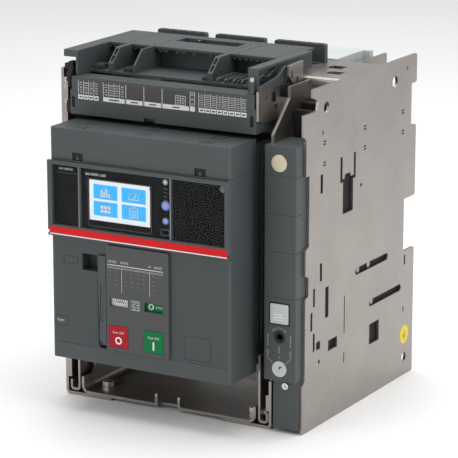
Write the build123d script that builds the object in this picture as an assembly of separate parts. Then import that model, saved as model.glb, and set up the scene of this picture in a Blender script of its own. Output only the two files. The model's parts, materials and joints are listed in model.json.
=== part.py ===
from build123d import *
import math
import os

# Withdrawable three-pole air circuit breaker, standing in its cradle in the isolated position.
# Millimetres. X runs to the right, Y to the back, Z up; the front faces -Y.
# The origin is on the floor, under the middle of the whole object.

# Whole object
width = 278.0
depth = 306.0
height = 363.5
left = -width / 2
right = width / 2
front = -depth / 2
back = depth / 2

# Cradle sheet metal
sheet = 3.0
plate_top = 344.5
plate_front = -98.5
plate_back = 152.4
inner_plate_x = (101.0, 104.0)
flange_reach = 55.0

# The three poles
pole_pitch = 70.0
breaker_x = -17.5
pole_centres = [breaker_x - pole_pitch, breaker_x, breaker_x + pole_pitch]
upper_stab_z = 232.0
lower_stab_z = 100.0
stab_half_width = 20.0

# Racking
racking_travel = 32.0
screw_x = 117.8
screw_z = 100.5

# Front cover of the moving part
cover_x = (-120.5, 85.5)
cover_front = -149.5
cover_back = -95.0
cover_bottom = 57.0
cap_split = 263.0
cover_top = 294.5
cover_wall = 2.5

# Clear flap over the trip unit
flap_x = (-122.0, 86.5)
flap_bottom = 184.0
flap_top = 261.5
flap_back = -149.8
flap_axis_y = (front + flap_back) / 2
flap_radius = (flap_back - front) / 2
flap_axis_z = flap_bottom + flap_radius

# Operating panel with its buttons and windows
panel_x = (-54.2, 18.0)
panel_z = (73.9, 182.0)
panel_front = -152.5
button_size = 22.2
off_centre = (-40.2, 89.1)
on_centre = (0.5, 89.3)
state_window = ((-9.9, 11.6), (119.6, 129.0))
spring_window = ((-49.9, -28.9), (119.9, 128.3))

# Charging lever
lever_x = (-63.8, -54.8)
lever_axis_y = -143.0
lever_axis_z = 84.0
lever_radius = 9.5
lever_top = 170.0

# Pole housing of the moving part
housing_x = (-117.5, 82.5)
housing_y = (-100.0, 17.0)
housing_z = (62.0, 288.0)
housing_wall = 4.0
mid_wall = (-46.0, -42.0)

# Main shaft and moving contacts
shaft_y = -62.0
shaft_z = 150.0
shaft_radius = 9.0
contact_axis_y = -14.0
contact_axis_z = 116.0
contact_open_angle = 10.0
shaft_open_angle = 28.0

os.makedirs("parts", exist_ok=True)
nodes = {}


# Helpers: boxes from their limits, round bars, and prisms of an outline

def middle(pair):
    return (pair[0] + pair[1]) / 2


def block(x, y, z):
    centre = (middle(x), middle(y), middle(z))
    return Pos(*centre) * Box(x[1] - x[0], y[1] - y[0], z[1] - z[0])


def rod(axis, centre, radius, length):
    turn = {"x": Rot(0, 90, 0), "y": Rot(90, 0, 0), "z": Rot(0, 0, 0)}[axis]
    return Pos(*centre) * turn * Cylinder(radius, length)


def tube(axis, centre, outer, inner, length):
    return rod(axis, centre, outer, length) - rod(axis, centre, inner, length + 2)


def front_prism(outline, y):
    # outline holds X and Z
    plane = Plane(origin=(0, y[1], 0), x_dir=(1, 0, 0), z_dir=(0, -1, 0))
    return extrude(plane * outline, amount=y[1] - y[0])


def side_prism(outline, x):
    # outline holds Y and Z
    plane = Plane(origin=(x[0], 0, 0), x_dir=(0, 1, 0), z_dir=(1, 0, 0))
    return extrude(plane * outline, amount=x[1] - x[0])


def top_prism(outline, z):
    # outline holds X and Y
    return extrude(Plane.XY.offset(z[0]) * outline, amount=z[1] - z[0])


def polygon(points):
    return make_face(Polyline(*points, close=True))


def rounded(a, b, radius):
    # a rectangle between the limits a (across) and b (up) with round corners
    return Pos(middle(a), middle(b)) * RectangleRounded(a[1] - a[0], b[1] - b[0], radius)


def slot(a, b):
    # a slot with round ends between the limits a and b
    long_side = max(a[1] - a[0], b[1] - b[0])
    short_side = min(a[1] - a[0], b[1] - b[0])
    turn = 0 if a[1] - a[0] > b[1] - b[0] else 90
    return Pos(middle(a), middle(b)) * Rot(0, 0, turn) * SlotOverall(long_side, short_side)


def bent_sheet(points, thickness, bend):
    # the cross section of a folded sheet, from its middle line and its inner bend radius
    half = thickness / 2
    runs = [(Vector(*b) - Vector(*a)).normalized() for a, b in zip(points, points[1:])]
    normals = [Vector(-run.Y, run.X) for run in runs]
    sides = []
    for sign in (1, -1):
        side = [Vector(*points[0]) + normals[0] * half * sign]
        radii = []
        for index in range(1, len(points) - 1):
            first = normals[index - 1]
            second = normals[index]
            mitre = (first + second) * (half * sign / (1 + first.dot(second)))
            side.append(Vector(*points[index]) + mitre)
            turns_left = runs[index - 1].cross(runs[index]).Z > 0
            inner = turns_left == (sign > 0)
            radii.append(bend if inner else bend + thickness)
        side.append(Vector(*points[-1]) + normals[-1] * half * sign)
        sides.append(FilletPolyline(*side, radius=radii))
    ends = [Line(sides[0] @ 0, sides[1] @ 0), Line(sides[0] @ 1, sides[1] @ 1)]
    return make_face(sides[0].edges() + sides[1].edges() + ends)


def shell_outline(x, y, radius):
    # plan of a cover: square at the back, rounded front corners
    outline = polygon([(x[0], y[0]), (x[1], y[0]), (x[1], y[1]), (x[0], y[1])])
    return fillet(outline.vertices().group_by(Axis.Y)[0], radius)


# ------------------------------------------------------------------ cradle

rear_tabs = [
    (plate_back, plate_top), (plate_back, 314.3), (140.5, 314.3), (140.5, 269.5),
    (plate_back, 269.5), (plate_back, 193.5), (126.5, 193.5), (126.5, 137.0),
    (plate_back, 137.0), (plate_back, 0.0),
]
mount_hole_radius = 4.5
mount_y = (-60.0, 110.0)
mount_x = (breaker_x - 82.5, breaker_x + 82.5)


def mount_holes(z):
    holes = [rod("z", (x, y, middle(z)), mount_hole_radius, z[1] - z[0] + 4)
             for x in mount_x for y in mount_y]
    return holes


def flanged_plate(outer_x, inner_x, flange_end, top):
    # a side plate with its foot turned in under the base pan
    mid_x = (outer_x + inner_x) / 2
    section = bent_sheet([(mid_x, top), (mid_x, sheet / 2), (flange_end, sheet / 2)], sheet, 2.0)
    plate = front_prism(section, (plate_front, plate_back))
    outline = polygon([(plate_front, 0.0), (plate_front, plate_top)] + rear_tabs)
    reach = (min(outer_x, flange_end) - 1, max(outer_x, flange_end) + 1)
    plate = plate & side_prism(outline, reach)
    for hole in mount_holes((0, sheet)):
        plate -= hole
    return plate


def left_side_plate():
    plate = flanged_plate(left, left + sheet, left + flange_reach, plate_top)
    plate += block((left + sheet, -131.8), (plate_front, plate_front + sheet), (19.0, 335.0))
    for y, z, radius in [(-52.0, 322.5, 5.8), (100.6, 322.5, 6.2), (132.0, 19.6, 5.2)]:
        plate -= rod("x", (left + sheet / 2, y, z), radius, sheet + 2)
    for z in (96.0, 108.0, 216.0, 300.0, 312.0):
        plate -= rod("x", (left + sheet / 2, plate_front + 8, z), 2.0, sheet + 2)
    for y, z in [((14.5, 89.6), (137.0, 144.4)), ((47.2, 122.1), (95.8, 103.0))]:
        plate -= side_prism(slot(y, z), (left - 1, left + sheet + 1))
    return plate


def inner_side_plate():
    plate = flanged_plate(inner_plate_x[1], inner_plate_x[0], inner_plate_x[1] - flange_reach,
                          plate_top - sheet)
    wall = (inner_plate_x[0] - 1, inner_plate_x[1] + 1)
    plate -= side_prism(polygon([(-99, 296), (-62, 330), (-62, 345), (-99, 345)]), wall)
    for y, z in [((6.0, 98.0), (136.0, 145.4)), ((40.0, 130.0), (94.8, 104.0))]:
        plate -= side_prism(slot(y, z), wall)
    plate -= side_prism(rounded((40.0, 96.0), (200.0, 262.0), 5.0), wall)
    plate -= side_prism(rounded((48.0, 84.0), (30.0, 78.0), 5.0), wall)
    plate -= block(wall, (plate_front - 1, plate_front + 3), (50.0, 345.0))
    plate += block((97.7, inner_plate_x[0]), (plate_front, plate_front + sheet), (18.5, 35.0))
    return plate


outer_holes = [
    (-52.3, 322.5, 5.8), (100.6, 322.5, 6.2), (132.0, 19.6, 5.2), (129.4, 332.1, 2.0),
    (-59.8, 298.3, 2.2), (25.1, 229.5, 2.0), (-64.0, 66.8, 2.0), (7.2, 331.8, 0.9), (72.5, 331.8, 0.9),
]
outer_slots = [
    ((14.5, 89.6), (137.0, 144.4)), ((47.2, 122.1), (95.8, 103.0)),
    ((-10.2, -8.2), (81.7, 121.9)), ((-10.2, -8.2), (51.0, 62.0)), ((127.2, 129.8), (70.6, 76.7)),
]
outer_windows = [
    ((-44.4, -24.7), (72.6, 83.6), 0.6), ((-70.5, -61.6), (80.0, 88.2), 0.6),
    ((48.2, 70.8), (55.0, 76.8), 0.6), ((-51.5, -44.2), (108.6, 140.3), 0.6),
    ((-15.4, 7.2), (207.4, 243.4), 0.6), ((-12.0, 1.6), (240.0, 247.6), 3.0),
    ((-21.3, -14.0), (240.2, 243.6), 0.4), ((6.0, 12.7), (240.0, 243.6), 0.4),
    ((-21.3, -16.5), (240.6, 266.2), 0.4), ((8.3, 12.7), (240.0, 266.2), 0.4),
    ((-77.5, -73.4), (80.1, 98.8), 0.4), ((-63.6, -58.8), (149.0, 167.4), 0.4),
    ((-77.6, -73.6), (126.0, 144.8), 0.4), ((-83.0, -78.6), (102.2, 121.3), 0.4),
    ((-63.8, -58.6), (238.2, 257.2), 0.4), ((128.4, 132.0), (122.0, 132.4), 0.4),
]
outer_bridges = [(-55.7, 288.0), (-55.6, 267.0), (32.5, 287.3), (32.8, 266.7), (120.0, 288.0), (120.8, 266.3)]


weld_spots = [(7.2, 331.8), (72.5, 331.8), (-43.2, 48.1), (105.0, 46.8)]
weld_spot_height = 0.3


def outer_side_plate():
    outline = polygon([
        (plate_front, 0.0), (plate_front, 50.0), (-94.0, 55.0), (-94.0, 138.0), (-87.5, 140.0),
        (-87.5, 159.0), (-94.0, 161.0), (-94.0, 187.0), (-87.0, 190.0), (-87.0, 261.0),
        (-93.7, 261.0), (-93.7, 295.5), (plate_front, 300.8), (plate_front, 322.0), (-71.0, 322.0),
        (-68.5, 331.5), (-79.6, 335.8), (-79.6, plate_top)] + rear_tabs)
    corners = outline.vertices().filter_by(lambda v: v.X > 120 or v.Z > 300)
    corners = [v for v in corners if v.X > 145 or v.X < -75]
    outline = fillet(corners, 2.5)
    face_x = (right - sheet, right)
    plate = side_prism(outline, face_x)
    cut_x = (face_x[0] - 1, face_x[1] + 1)
    cutters = [rod("x", (middle(face_x), y, z), radius, sheet + 2) for y, z, radius in outer_holes]
    cutters += [side_prism(slot(y, z), cut_x) for y, z in outer_slots]
    cutters += [side_prism(rounded(y, z, radius), cut_x) for y, z, radius in outer_windows]
    for y, z in outer_bridges:
        cutters.append(side_prism(slot((y - 3, y + 3), (z - 2.2, z - 0.7)), cut_x))
        cutters.append(side_prism(slot((y - 3, y + 3), (z + 0.7, z + 2.2)), cut_x))
    plate -= cutters
    for y, z in weld_spots:
        plate += rod("x", (right, y, z), 2.3, 2 * weld_spot_height)
    return plate


top_plate_y = (-20.0, 74.0)


def top_plate():
    # the steel deck that ties the side plates, folded down along its front edge
    x = (left + sheet, right - sheet)
    mid_z = plate_top - sheet / 2
    section = bent_sheet([(top_plate_y[0] + sheet / 2, 337.0), (top_plate_y[0] + sheet / 2, mid_z),
                          (top_plate_y[1], mid_z)], sheet, 2.0)
    plate = side_prism(section, x)
    plate -= block((inner_plate_x[0] - 0.5, inner_plate_x[1] + 0.5), (-21, 75), (330, plate_top - sheet))
    for hole_x, hole_y in [((95.0, 112.0), (30.0, 46.0)), ((108.0, 124.0), (3.0, 17.0))]:
        plate -= top_prism(rounded(hole_x, hole_y, 2.0), (plate_top - sheet - 1, plate_top + 1))
    plate -= block((-112.0, 78.0), (40.0, 50.0), (plate_top - sheet - 1, plate_top + 1))
    return plate


pan_x = (-119.5, 86.5)
pan_y = (-99.0, 148.0)
pan_tabs = [(-31.0, -28.0), (-4.4, -1.4)]


def base_pan():
    low = sheet * 1.5
    half = sheet / 2
    section = bent_sheet([(pan_x[0] + half, 50.0), (pan_x[0] + half, low), (pan_x[1] - half, low),
                          (pan_x[1] - half, 50.0)], sheet, 6.0)
    pan = front_prism(section, pan_y)
    whole = (pan_x[0] - 1, pan_x[1] + 1)
    pan -= side_prism(polygon([(-100, 21), (-82, 21), (-76, 27), (-76, 52), (-100, 52)]), whole)
    pan -= block((pan_tabs[0][1], pan_tabs[1][0]), (-100, -92), (0, 52))
    for tab in pan_tabs:
        ear = side_prism(slot((-99.0, -91.0), (5.0, 17.7)), tab)
        pan += ear + block(tab, (-99.0, -91.0), (sheet, 11.0))
    pan -= block((-70.0, 35.0), (20.0, 110.0), (0, 12))
    for hole in mount_holes((sheet, 2 * sheet)):
        pan -= hole
    return pan


column_x = (100.4, 135.8)
column_y = (-108.0, -62.0)
column_z = (55.3, 291.8)
release_x = (107.5, 128.2)
release_z = (113.8, 134.5)
indicator_centre = (117.6, 67.5)
indicator_radius = 8.2
plug_centre = (116.6, 275.0)
plug_radius = 8.7
socket_radius = 7.2


def racking_column():
    column = top_prism(shell_outline(column_x, column_y, 1.2), column_z)
    column -= block((column_x[0] - 1, inner_plate_x[1] + 0.4), (plate_front + 2.6, column_y[1] + 1), (50, 300))
    column -= block((107.0, 133.0), (column_y[0] + 3.0, column_y[1] + 1), (58.5, 288.5))
    for z in (262.5, 224.3, 186.2, 140.2):
        groove = block((column_x[0] - 1, column_x[1] + 1), (column_y[0] - 1, column_y[0] + 0.4), (z - 0.3, z + 0.3))
        side = block((column_x[1] - 0.4, column_x[1] + 1), (column_y[0] - 1, -94.0), (z - 0.3, z + 0.3))
        column -= groove + side
    column -= front_prism(rounded(release_x, release_z, 0.8), (column_y[0] - 1, column_y[0] + 4))
    column -= rod("y", (screw_x, column_y[0], screw_z), socket_radius, 10)
    column -= rod("y", (indicator_centre[0], column_y[0], indicator_centre[1]), indicator_radius + 0.4, 10)
    column -= rod("y", (plug_centre[0], column_y[0], plug_centre[1]), plug_radius, 10)
    return column


def column_foot():
    foot = block((108.0, 135.8), (-102.0, -62.0), (4.3, 55.0))
    foot -= block((111.0, 132.8), (-98.5, -61.0), (7.0, 52.0))
    foot -= rod("y", (122.0, -102.0, 49.3), 2.0, 12)
    return foot


def column_plug():
    cap = rod("y", (plug_centre[0], column_y[0] + 1.2, plug_centre[1]), plug_radius - 0.1, 3.0)
    cap += rod("y", (plug_centre[0], column_y[0] + 5.5, plug_centre[1]), 6.5, 6.0)
    return cap


screw_end = 72.0


def racking_screw():
    # turned by the crank through the hole in the column
    start = column_y[0] + 1.0
    screw = rod("y", (screw_x, (start + screw_end) / 2, screw_z), 5.0, screw_end - start)
    screw += rod("y", (screw_x, start + 8.0, screw_z), 6.8, 16.0)
    screw += rod("y", (screw_x, -72.0, screw_z), 7.5, 4.0)
    socket = Pos(screw_x, start + 5.0, screw_z) * Rot(90, 0, 0) * extrude(RegularPolygon(3.6, 6), amount=10)
    return screw - Pos(0, 5, 0) * socket - Pos(0, -4, 0) * socket


def screw_bearing():
    bearing = block((inner_plate_x[1], 130.0), (-61.6, -52.0), (88.0, 113.0))
    bearing -= rod("y", (screw_x, -57.0, screw_z), 5.05, 20.0)
    return bearing


slider_y = (14.0, 62.0)


def racking_slider():
    # the nut on the screw, with the pins that run in the slots of both plates
    slider = block((107.0, 126.0), (16.0, 34.0), (90.0, 111.0))
    slider -= rod("y", (screw_x, 25.0, screw_z), 5.25, 40.0)
    slider += block((126.0, 134.5), slider_y, (92.0, 148.0))
    for y, z in [(24.0, 140.7), (48.0, 140.7), (56.0, 99.4)]:
        slider += rod("x", (134.0, y, z), 3.2, 6.0)
    slider += block((107.0, 126.0), (20.0, 30.0), (111.0, 144.0))
    slider += rod("x", (96.0, 25.0, 140.7), 3.8, 23.0)
    return slider


def position_indicator():
    x, z = indicator_centre
    disc = rod("y", (x, column_y[0] + 1.6, z), indicator_radius, 2.6)
    disc += rod("y", (x, column_y[0] + 6.0, z), 2.5, 9.0)
    disc -= Pos(x, column_y[0], z) * Rot(0, 45, 0) * Box(0.9, 1.4, 12.0)
    return disc


def release_button():
    gap = 0.4
    x = (release_x[0] + gap, release_x[1] - gap)
    z = (release_z[0] + gap, release_z[1] - gap)
    button = front_prism(rounded(x, z, 1.0), (column_y[0] - 0.8, -101.0))
    button += block((x[0] + 3, x[1] - 3), (-101.0, -92.0), (z[0] + 3, z[1] - 3))
    button -= rod("y", (middle(x), -93.0, middle(z)), 4.2, 8.0)
    return button


terminal_x = (-122.3, 87.4)
terminal_y = (-105.0, -34.0)
terminal_z = (299.6, 338.0)


def terminal_box():
    # carries the auxiliary wiring terminals above the moving part
    body = block(terminal_x, terminal_y, terminal_z)
    body -= block((terminal_x[0] + 2.5, terminal_x[1] - 2.5), (terminal_y[0] + 2.5, terminal_y[1] + 1), (302.5, 336.5))
    body -= block((-119.0, 84.0), (-83.0, terminal_y[1] + 1), (330.0, 341.0))
    body -= block((-58.4, 4.0), (terminal_y[0] - 1, terminal_y[0] + 8.0), (337.6, 341.0))
    body -= block((-38.0, -25.0), (terminal_y[0] - 1, terminal_y[0] + 5.0), (298.0, 303.3))
    for x in [(-122.8, -118.6), (82.6, 86.6)]:
        body -= block(x, (terminal_y[0] - 1, terminal_y[0] + 6.0), (306.5, 317.5))
    for x in [(-124.3, terminal_x[0]), (terminal_x[1], 88.9)]:
        body += block(x, (terminal_y[0] + 0.3, -60.0), (299.6, 324.2))
    return body


def connector_blocks():
    # rows of sliding contact blocks behind the printed front
    blocks = []
    for index in range(5):
        x = terminal_x[0] + 8.0 + index * 39.6
        body = block((x, x + 36.0), (-100.0, -72.0), (303.0, 329.0))
        for hole in range(6):
            body -= block((x + 2.2 + hole * 5.6, x + 5.8 + hole * 5.6), (-98.0, -88.0), (325.0, 331.0))
        blocks.append(body)
    return Compound(children=blocks)


wiring_x = (-121.0, 86.0)
deck_y = (-39.0, 33.0)
deck_z = (361.0, height)
arm_front = -99.0
floor_front = -76.5
floor_z = (338.3, 341.0)
wall_back = -21.0
wide_dividers = [(-96.7, -91.0), (18.8, 24.4)]
thin_dividers = [(-67.2, -65.0)]


deck_groove_x = [-68.0, 73.4]
deck_groove = 0.6


def divider(x):
    # upright front, then a slope up to the deck
    outline = polygon([(floor_front, floor_z[0]), (floor_front, 349.0), (-61.0, height),
                       (wall_back, height), (wall_back, floor_z[0])])
    return side_prism(outline, x)


def slope_slots(x):
    # two slots sunk in the sloping edge of a wide divider
    run = Vector(0, -61.0 - floor_front, height - 349.0)
    tilt = math.degrees(math.atan2(run.Z, run.Y))
    cutters = []
    for share in (0.3, 0.72):
        at = Vector(middle(x), floor_front, 349.0) + run * share
        cutters.append(Pos(at.X, at.Y, at.Z) * Rot(tilt, 0, 0) * Box(x[1] - x[0] - 2.8, 7.2, 5.0))
    return cutters


def wiring_cover():
    wall = 2.5
    cover = block((-135.0, wiring_x[1] - 6.0), deck_y, deck_z)
    cover += block((-135.0, wiring_x[0]), (arm_front, deck_y[1]), (356.4, height))
    cover += block((wiring_x[0], wiring_x[0] + wall), (arm_front, wall_back), (floor_z[0], height))
    cover += block((77.0, 79.5), (arm_front, wall_back), (floor_z[0], height))
    cover += block((77.0, 88.0), (arm_front, arm_front + wall), (340.0, height))
    cover += block((77.0, 88.0), (arm_front, 14.0), (361.0, height))
    cover += block((wiring_x[0], 79.5), (floor_front, wall_back), floor_z)
    cover += block((wiring_x[0], 79.5), (wall_back - wall, wall_back), (floor_z[0], height))
    for x in [(wiring_x[0], wiring_x[0] + wall), (75.5, 78.0)]:
        cover += block(x, (wall_back, deck_y[1]), (plate_top, height))
    cover += block((wiring_x[0], 78.0), (deck_y[1] - wall, deck_y[1]), (plate_top, height))
    for x in wide_dividers + thin_dividers:
        cover += divider(x)
    for x in wide_dividers:
        cover -= slope_slots(x)
    # shallow tray in the middle of the deck, and its slotted lines
    cover += block((-64.0, 12.0), (-4.0, 21.0), (352.0, deck_z[1]))
    cover -= block((-62.0, 10.0), (-2.0, 19.0), (354.0, deck_z[1] + 1))
    rows = [(-34.0, -110.0, -30.0), (26.0, -110.0, 70.0), (-34.0, 28.0, 74.0)]
    for y, start, end in rows:
        count = int((end - start) // 8)
        for index in range(count):
            x = start + index * 8.0
            cover -= block((x, x + 4.5), (y - 0.7, y + 0.7), (deck_z[0] - 1, deck_z[1] + 1))
    for x in (-100.0, 16.0, 28.0):
        for index in range(6):
            y = -30.0 + index * 8.5
            cover -= block((x - 0.7, x + 0.7), (y, y + 4.5), (deck_z[0] - 1, deck_z[1] + 1))
    for x in deck_groove_x:
        cover -= block((x, x + deck_groove), (deck_y[0] + 2.0, deck_y[1] - 2.0), (deck_z[1] - deck_groove, deck_z[1] + 1))
    for index in range(4):
        x = 30.0 + index * 11.0
        cover += block((x, x + 1.8), (floor_front, wall_back - wall), (floor_z[1], floor_z[1] + 4.0))
    return cover


hood_y = (53.6, 60.2)
hood_half_width = 29.2


def phase_hood(x):
    # a flat gas deflector that stands on the top plate behind the wiring cover
    outline = rounded((x - hood_half_width, x + hood_half_width), (plate_top - 3, height), 2.0)
    hood = front_prism(outline, hood_y) & block((x - 40, x + 40), hood_y, (plate_top, height))
    for index in range(5):
        notch_x = x - hood_half_width + 3.5 + index * 11.0
        hood -= block((notch_x, notch_x + 8.2), (hood_y[0] + 2.2, hood_y[1] - 1.4), (height - 3.5, height + 1))
    return hood


insulator_x = (-120.0, 85.0)
insulator_y = (64.0, 142.0)
insulator_z = (50.0, 341.0)
terminal_z_pairs = {"upper": upper_stab_z, "lower": lower_stab_z}
blade_half = 3.0


def rear_insulator():
    body = block(insulator_x, insulator_y, insulator_z)
    body += block(insulator_x, (74.3, insulator_y[1]), (insulator_z[1], plate_top + 1.0))
    body += block((insulator_x[1], 93.0), (134.0, insulator_y[1]), (280.0, plate_top + 1.0))
    pockets = [(56.0, 164.0), (170.0, 336.0)]
    for x in pole_centres:
        for z in pockets:
            body -= block((x - 32.0, x + 32.0), (68.0, insulator_y[1] + 1), z)
        for stab in terminal_z_pairs.values():
            body -= block((x - stab_half_width, x + stab_half_width), (60.0, 70.0),
                          (stab - blade_half, stab + blade_half))
    return body


terminal_hole_radius = 5.5
terminal_hole_spacing = 22.0
terminal_pad = (146.0, back)


def rear_terminals(stab):
    # a blade for the moving part's jaws, and an upright pad with two bolt holes for the busbar
    terminals = []
    for x in pole_centres:
        bar = block((x - stab_half_width, x + stab_half_width), (56.0, terminal_pad[1]),
                    (stab - blade_half, stab + blade_half))
        bar += front_prism(rounded((x - 22.5, x + 22.5), (stab - 24.0, stab + 24.0), 3.0), terminal_pad)
        for side in (-1, 1):
            hole = (x + side * terminal_hole_spacing / 2, middle(terminal_pad), stab + 13.0)
            bar -= rod("y", hole, terminal_hole_radius, 12)
        terminals.append(bar)
    return Compound(children=terminals)


shutter_y = (53.0, 54.6)
shutter_travel = 36.0
window_half_height = 24.5


def shutter(stab, direction):
    # closed in front of the blades; it moves by shutter_travel to uncover them
    window_z = stab - direction * shutter_travel
    far = stab + direction * 14.0
    near = window_z - direction * (window_half_height + 4.0)
    plate = block((-116.0, 81.0), shutter_y, (min(near, far), max(near, far)))
    for x in pole_centres:
        z = (window_z - window_half_height, window_z + window_half_height)
        plate -= front_prism(rounded((x - 23.0, x + 23.0), z, 3.0), (shutter_y[0] - 1, shutter_y[1] + 1))
    return plate


def shutter_guides():
    # channels on both sides that the shutters run in
    guides = []
    for wall, lip in [((-118.5, -116.3), (-118.5, -113.0)), ((81.3, 83.5), (78.0, 83.5))]:
        guide = block(wall, (50.0, 64.0), (50.5, 306.0))
        guide += block(lip, (50.0, 52.4), (50.5, 306.0))
        guide += block(lip, (55.2, 64.0), (50.5, 306.0))
        guides.append(guide)
    return Compound(children=guides)


def right_bracket():
    # steel cheek beside the terminal box, with the lug that ties it to its side plate
    plate = side_prism(polygon([(-104.0, 312.5), (-92.0, 309.0), (-60.0, 309.0), (-60.0, 344.0),
                                (-104.0, 341.5)]), (89.2, 91.6))
    plate -= side_prism(rounded((-78.0, -67.0), (327.0, 337.0), 1.0), (88, 93))
    plate -= rod("x", (90.4, -68.0, 321.0), 3.0, 6)
    plate -= rod("x", (90.4, -87.0, 333.0), 2.0, 6)
    plate += block((91.0, inner_plate_x[0]), (-62.4, -60.0), (309.0, 330.0))
    return plate


def left_bracket():
    plate = side_prism(polygon([(-104.0, 312.5), (-92.0, 309.0), (-60.0, 309.0), (-60.0, 334.0),
                                (-104.0, 332.0)]), (-130.0, -127.6))
    plate += block((left + sheet, -129.0), (-62.4, -60.0), (309.0, 330.0))
    plate -= rod("x", (-128.8, -87.0, 322.0), 2.0, 6)
    return plate


def hook_bracket():
    # steel hook that ties the wiring cover to the inner plate
    plate = side_prism(polygon([(-54.0, 360.0), (-24.0, 361.0), (-24.0, 322.0), (-34.0, 322.0),
                                (-42.0, 338.0), (-54.0, 350.0)]), (95.6, 98.0))
    plate += block((95.6, 100.9), (-34.0, -24.0), (322.0, 326.0))
    plate -= side_prism(slot((-49.0, -46.0), (345.0, 355.0)), (94, 99))
    plate -= side_prism(slot((-38.0, -35.0), (335.0, 347.0)), (94, 99))
    return plate


def cradle_fasteners():
    pan_bolts = []
    for x in (-104.0, 71.0):
        head = Pos(x, -72.0, 2 * sheet) * extrude(RegularPolygon(7.0, 6), amount=5.5)
        pan_bolts.append(head)
    foot_screw = rod("y", (122.0, -103.0, 49.3), 3.6, 2.0) + rod("y", (122.0, -98.0, 49.3), 1.9, 10.0)
    foot_screw -= Pos(122.0, -103.6, 49.3) * Box(4.4, 1.4, 0.8)
    foot_screw -= Pos(122.0, -103.6, 49.3) * Box(0.8, 1.4, 4.4)
    return Compound(children=pan_bolts + [foot_screw])


# ------------------------------------------------------------------- rails

rail_y = (-97.0, 140.0)
rail_sheet = 2.5
rail_top = 75.0
arm_centres = (-66.0, -4.0)
arm_half = 3.2
arm_bottom = 70.0


def rail(wall_x, lip_x):
    half = rail_sheet / 2
    low = 4.3 + half
    section = bent_sheet([(wall_x, rail_top), (wall_x, low), (lip_x, low), (lip_x, 15.7)], rail_sheet, 1.5)
    body = front_prism(section, rail_y)
    whole = (wall_x - 2, wall_x + 2)
    for y in arm_centres:
        body -= block(whole, (y - arm_half - 0.5, y + arm_half + racking_travel + 0.5), (arm_bottom - 0.3, rail_top + 1))
    return body


left_rail_x = (-123.75, -133.2)
right_rail_x = (89.35, 98.2)


def rail_bolts():
    bolts = []
    for wall_x, lip_x in (left_rail_x, right_rail_x):
        away = 1 if lip_x > wall_x else -1
        start = wall_x + away * rail_sheet / 2
        for y in (-86.0, 20.0, 126.0):
            bolts.append(rod("x", (start + away * 1.8, y, 12.8), 4.4, 3.6))
    return Compound(children=bolts)


# ------------------------------------------------------- moving part: outside

def hollow_cover(z, depth_y):
    outer = top_prism(shell_outline(cover_x, (cover_front, depth_y), 3.5), z)
    inner_x = (cover_x[0] + cover_wall, cover_x[1] - cover_wall)
    inner_y = (cover_front + cover_wall, depth_y + 1)
    return outer, inner_x, inner_y


trip_window_x = (-116.5, 82.0)
trip_window_z = (190.0, 258.5)
skirt_line = (73.1, 73.8)


def front_cover():
    outer, inner_x, inner_y = hollow_cover((cover_bottom, cap_split), cover_back)
    cover = outer - block(inner_x, inner_y, (cover_bottom + cover_wall, cap_split + 1))
    through = (cover_front - 1, cover_front + cover_wall + 1)
    cover -= block(trip_window_x, through, trip_window_z)
    cover -= block((panel_x[0] + 2.0, panel_x[1] - 2.0), through, (panel_z[0] + 2.0, panel_z[1] - 2.0))
    cover -= block((lever_x[0] - 0.5, lever_x[1] + 0.4), through, (lever_axis_z - 10.2, lever_top + 0.6))
    cover -= block((-84.0, lever_x[0]), through, (152.2, 169.3))
    pocket = block((-86.0, lever_x[0] - 0.5), (cover_front + cover_wall, -133.0), (150.2, 171.3))
    pocket -= block((-84.0, lever_x[0]), (cover_front, -135.0), (152.2, 169.3))
    cover += pocket
    cover -= block((cover_x[0] - 1, cover_x[1] + 1), (cover_front - 1, cover_front + 0.5), skirt_line)
    cover -= block((-118.0, -102.0), through, (91.2, 100.8))
    cover -= block((-105.8, -88.4), (cover_front - 1, cover_front + 0.6), (156.8, 164.7))
    cover -= block((34.8, 64.5), (cover_front - 1, cover_front + 0.6), (76.2, 101.0))
    for x in [(flap_x[0], cover_x[0] + 0.6), (cover_x[1] - 0.6, flap_x[1])]:
        ear = side_prism(Pos(flap_axis_y, flap_axis_z) * Circle(flap_radius - 0.1), x)
        ear += block(x, (flap_axis_y, cover_front + 4.0), (flap_bottom + 0.3, flap_axis_z))
        cover += ear - rod("x", (middle(x), flap_axis_y, flap_axis_z), 0.85, 8)
    return cover


cap_back = -98.0
latch_notches = [(-94.0, -81.5), (46.0, 59.0)]
vent_groups = [-96.8, -25.0, 47.0]
vent_row_pitch = 5.2
vent_width = 2.4
vent_length = 4.0
vent_rear_y = [-120.4, -115.0, -109.6, -104.2]
vent_front_y = [-142.0, -136.0]
vent_front_offset = -0.4


def cover_cap():
    outer, inner_x, inner_y = hollow_cover((cap_split + 0.4, cover_top), cap_back)
    cap = outer - block(inner_x, inner_y, (cap_split, cover_top - cover_wall))
    for x in latch_notches:
        cap -= block(x, (cover_front - 1, cover_front + 1.6), (cap_split, 271.0))
        cap -= block((x[0] + 3.5, x[1] - 3.5), (cover_front - 1, cover_front + 3), (cap_split, 266.5))
    for group in vent_groups:
        for row in range(3):
            x = group + row * vent_row_pitch
            for y in vent_rear_y + vent_front_y:
                offset = vent_front_offset if y in vent_front_y else 0.0
                slot_x = (x + offset, x + offset + vent_width)
                cap -= block(slot_x, (y, y + vent_length), (cover_top - cover_wall - 1, cover_top + 1))
    return cap


def operating_panel():
    outline = rounded(panel_x, panel_z, 1.5)
    panel = front_prism(outline, (panel_front, cover_front))
    through = (panel_front - 1, cover_front + 1)
    half = button_size / 2 + 0.3
    for x, z in (off_centre, on_centre):
        panel -= front_prism(rounded((x - half, x + half), (z - half, z + half), 1.2), through)
    for x, z in (state_window, spring_window):
        panel -= block(x, through, z)
    return panel


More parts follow.
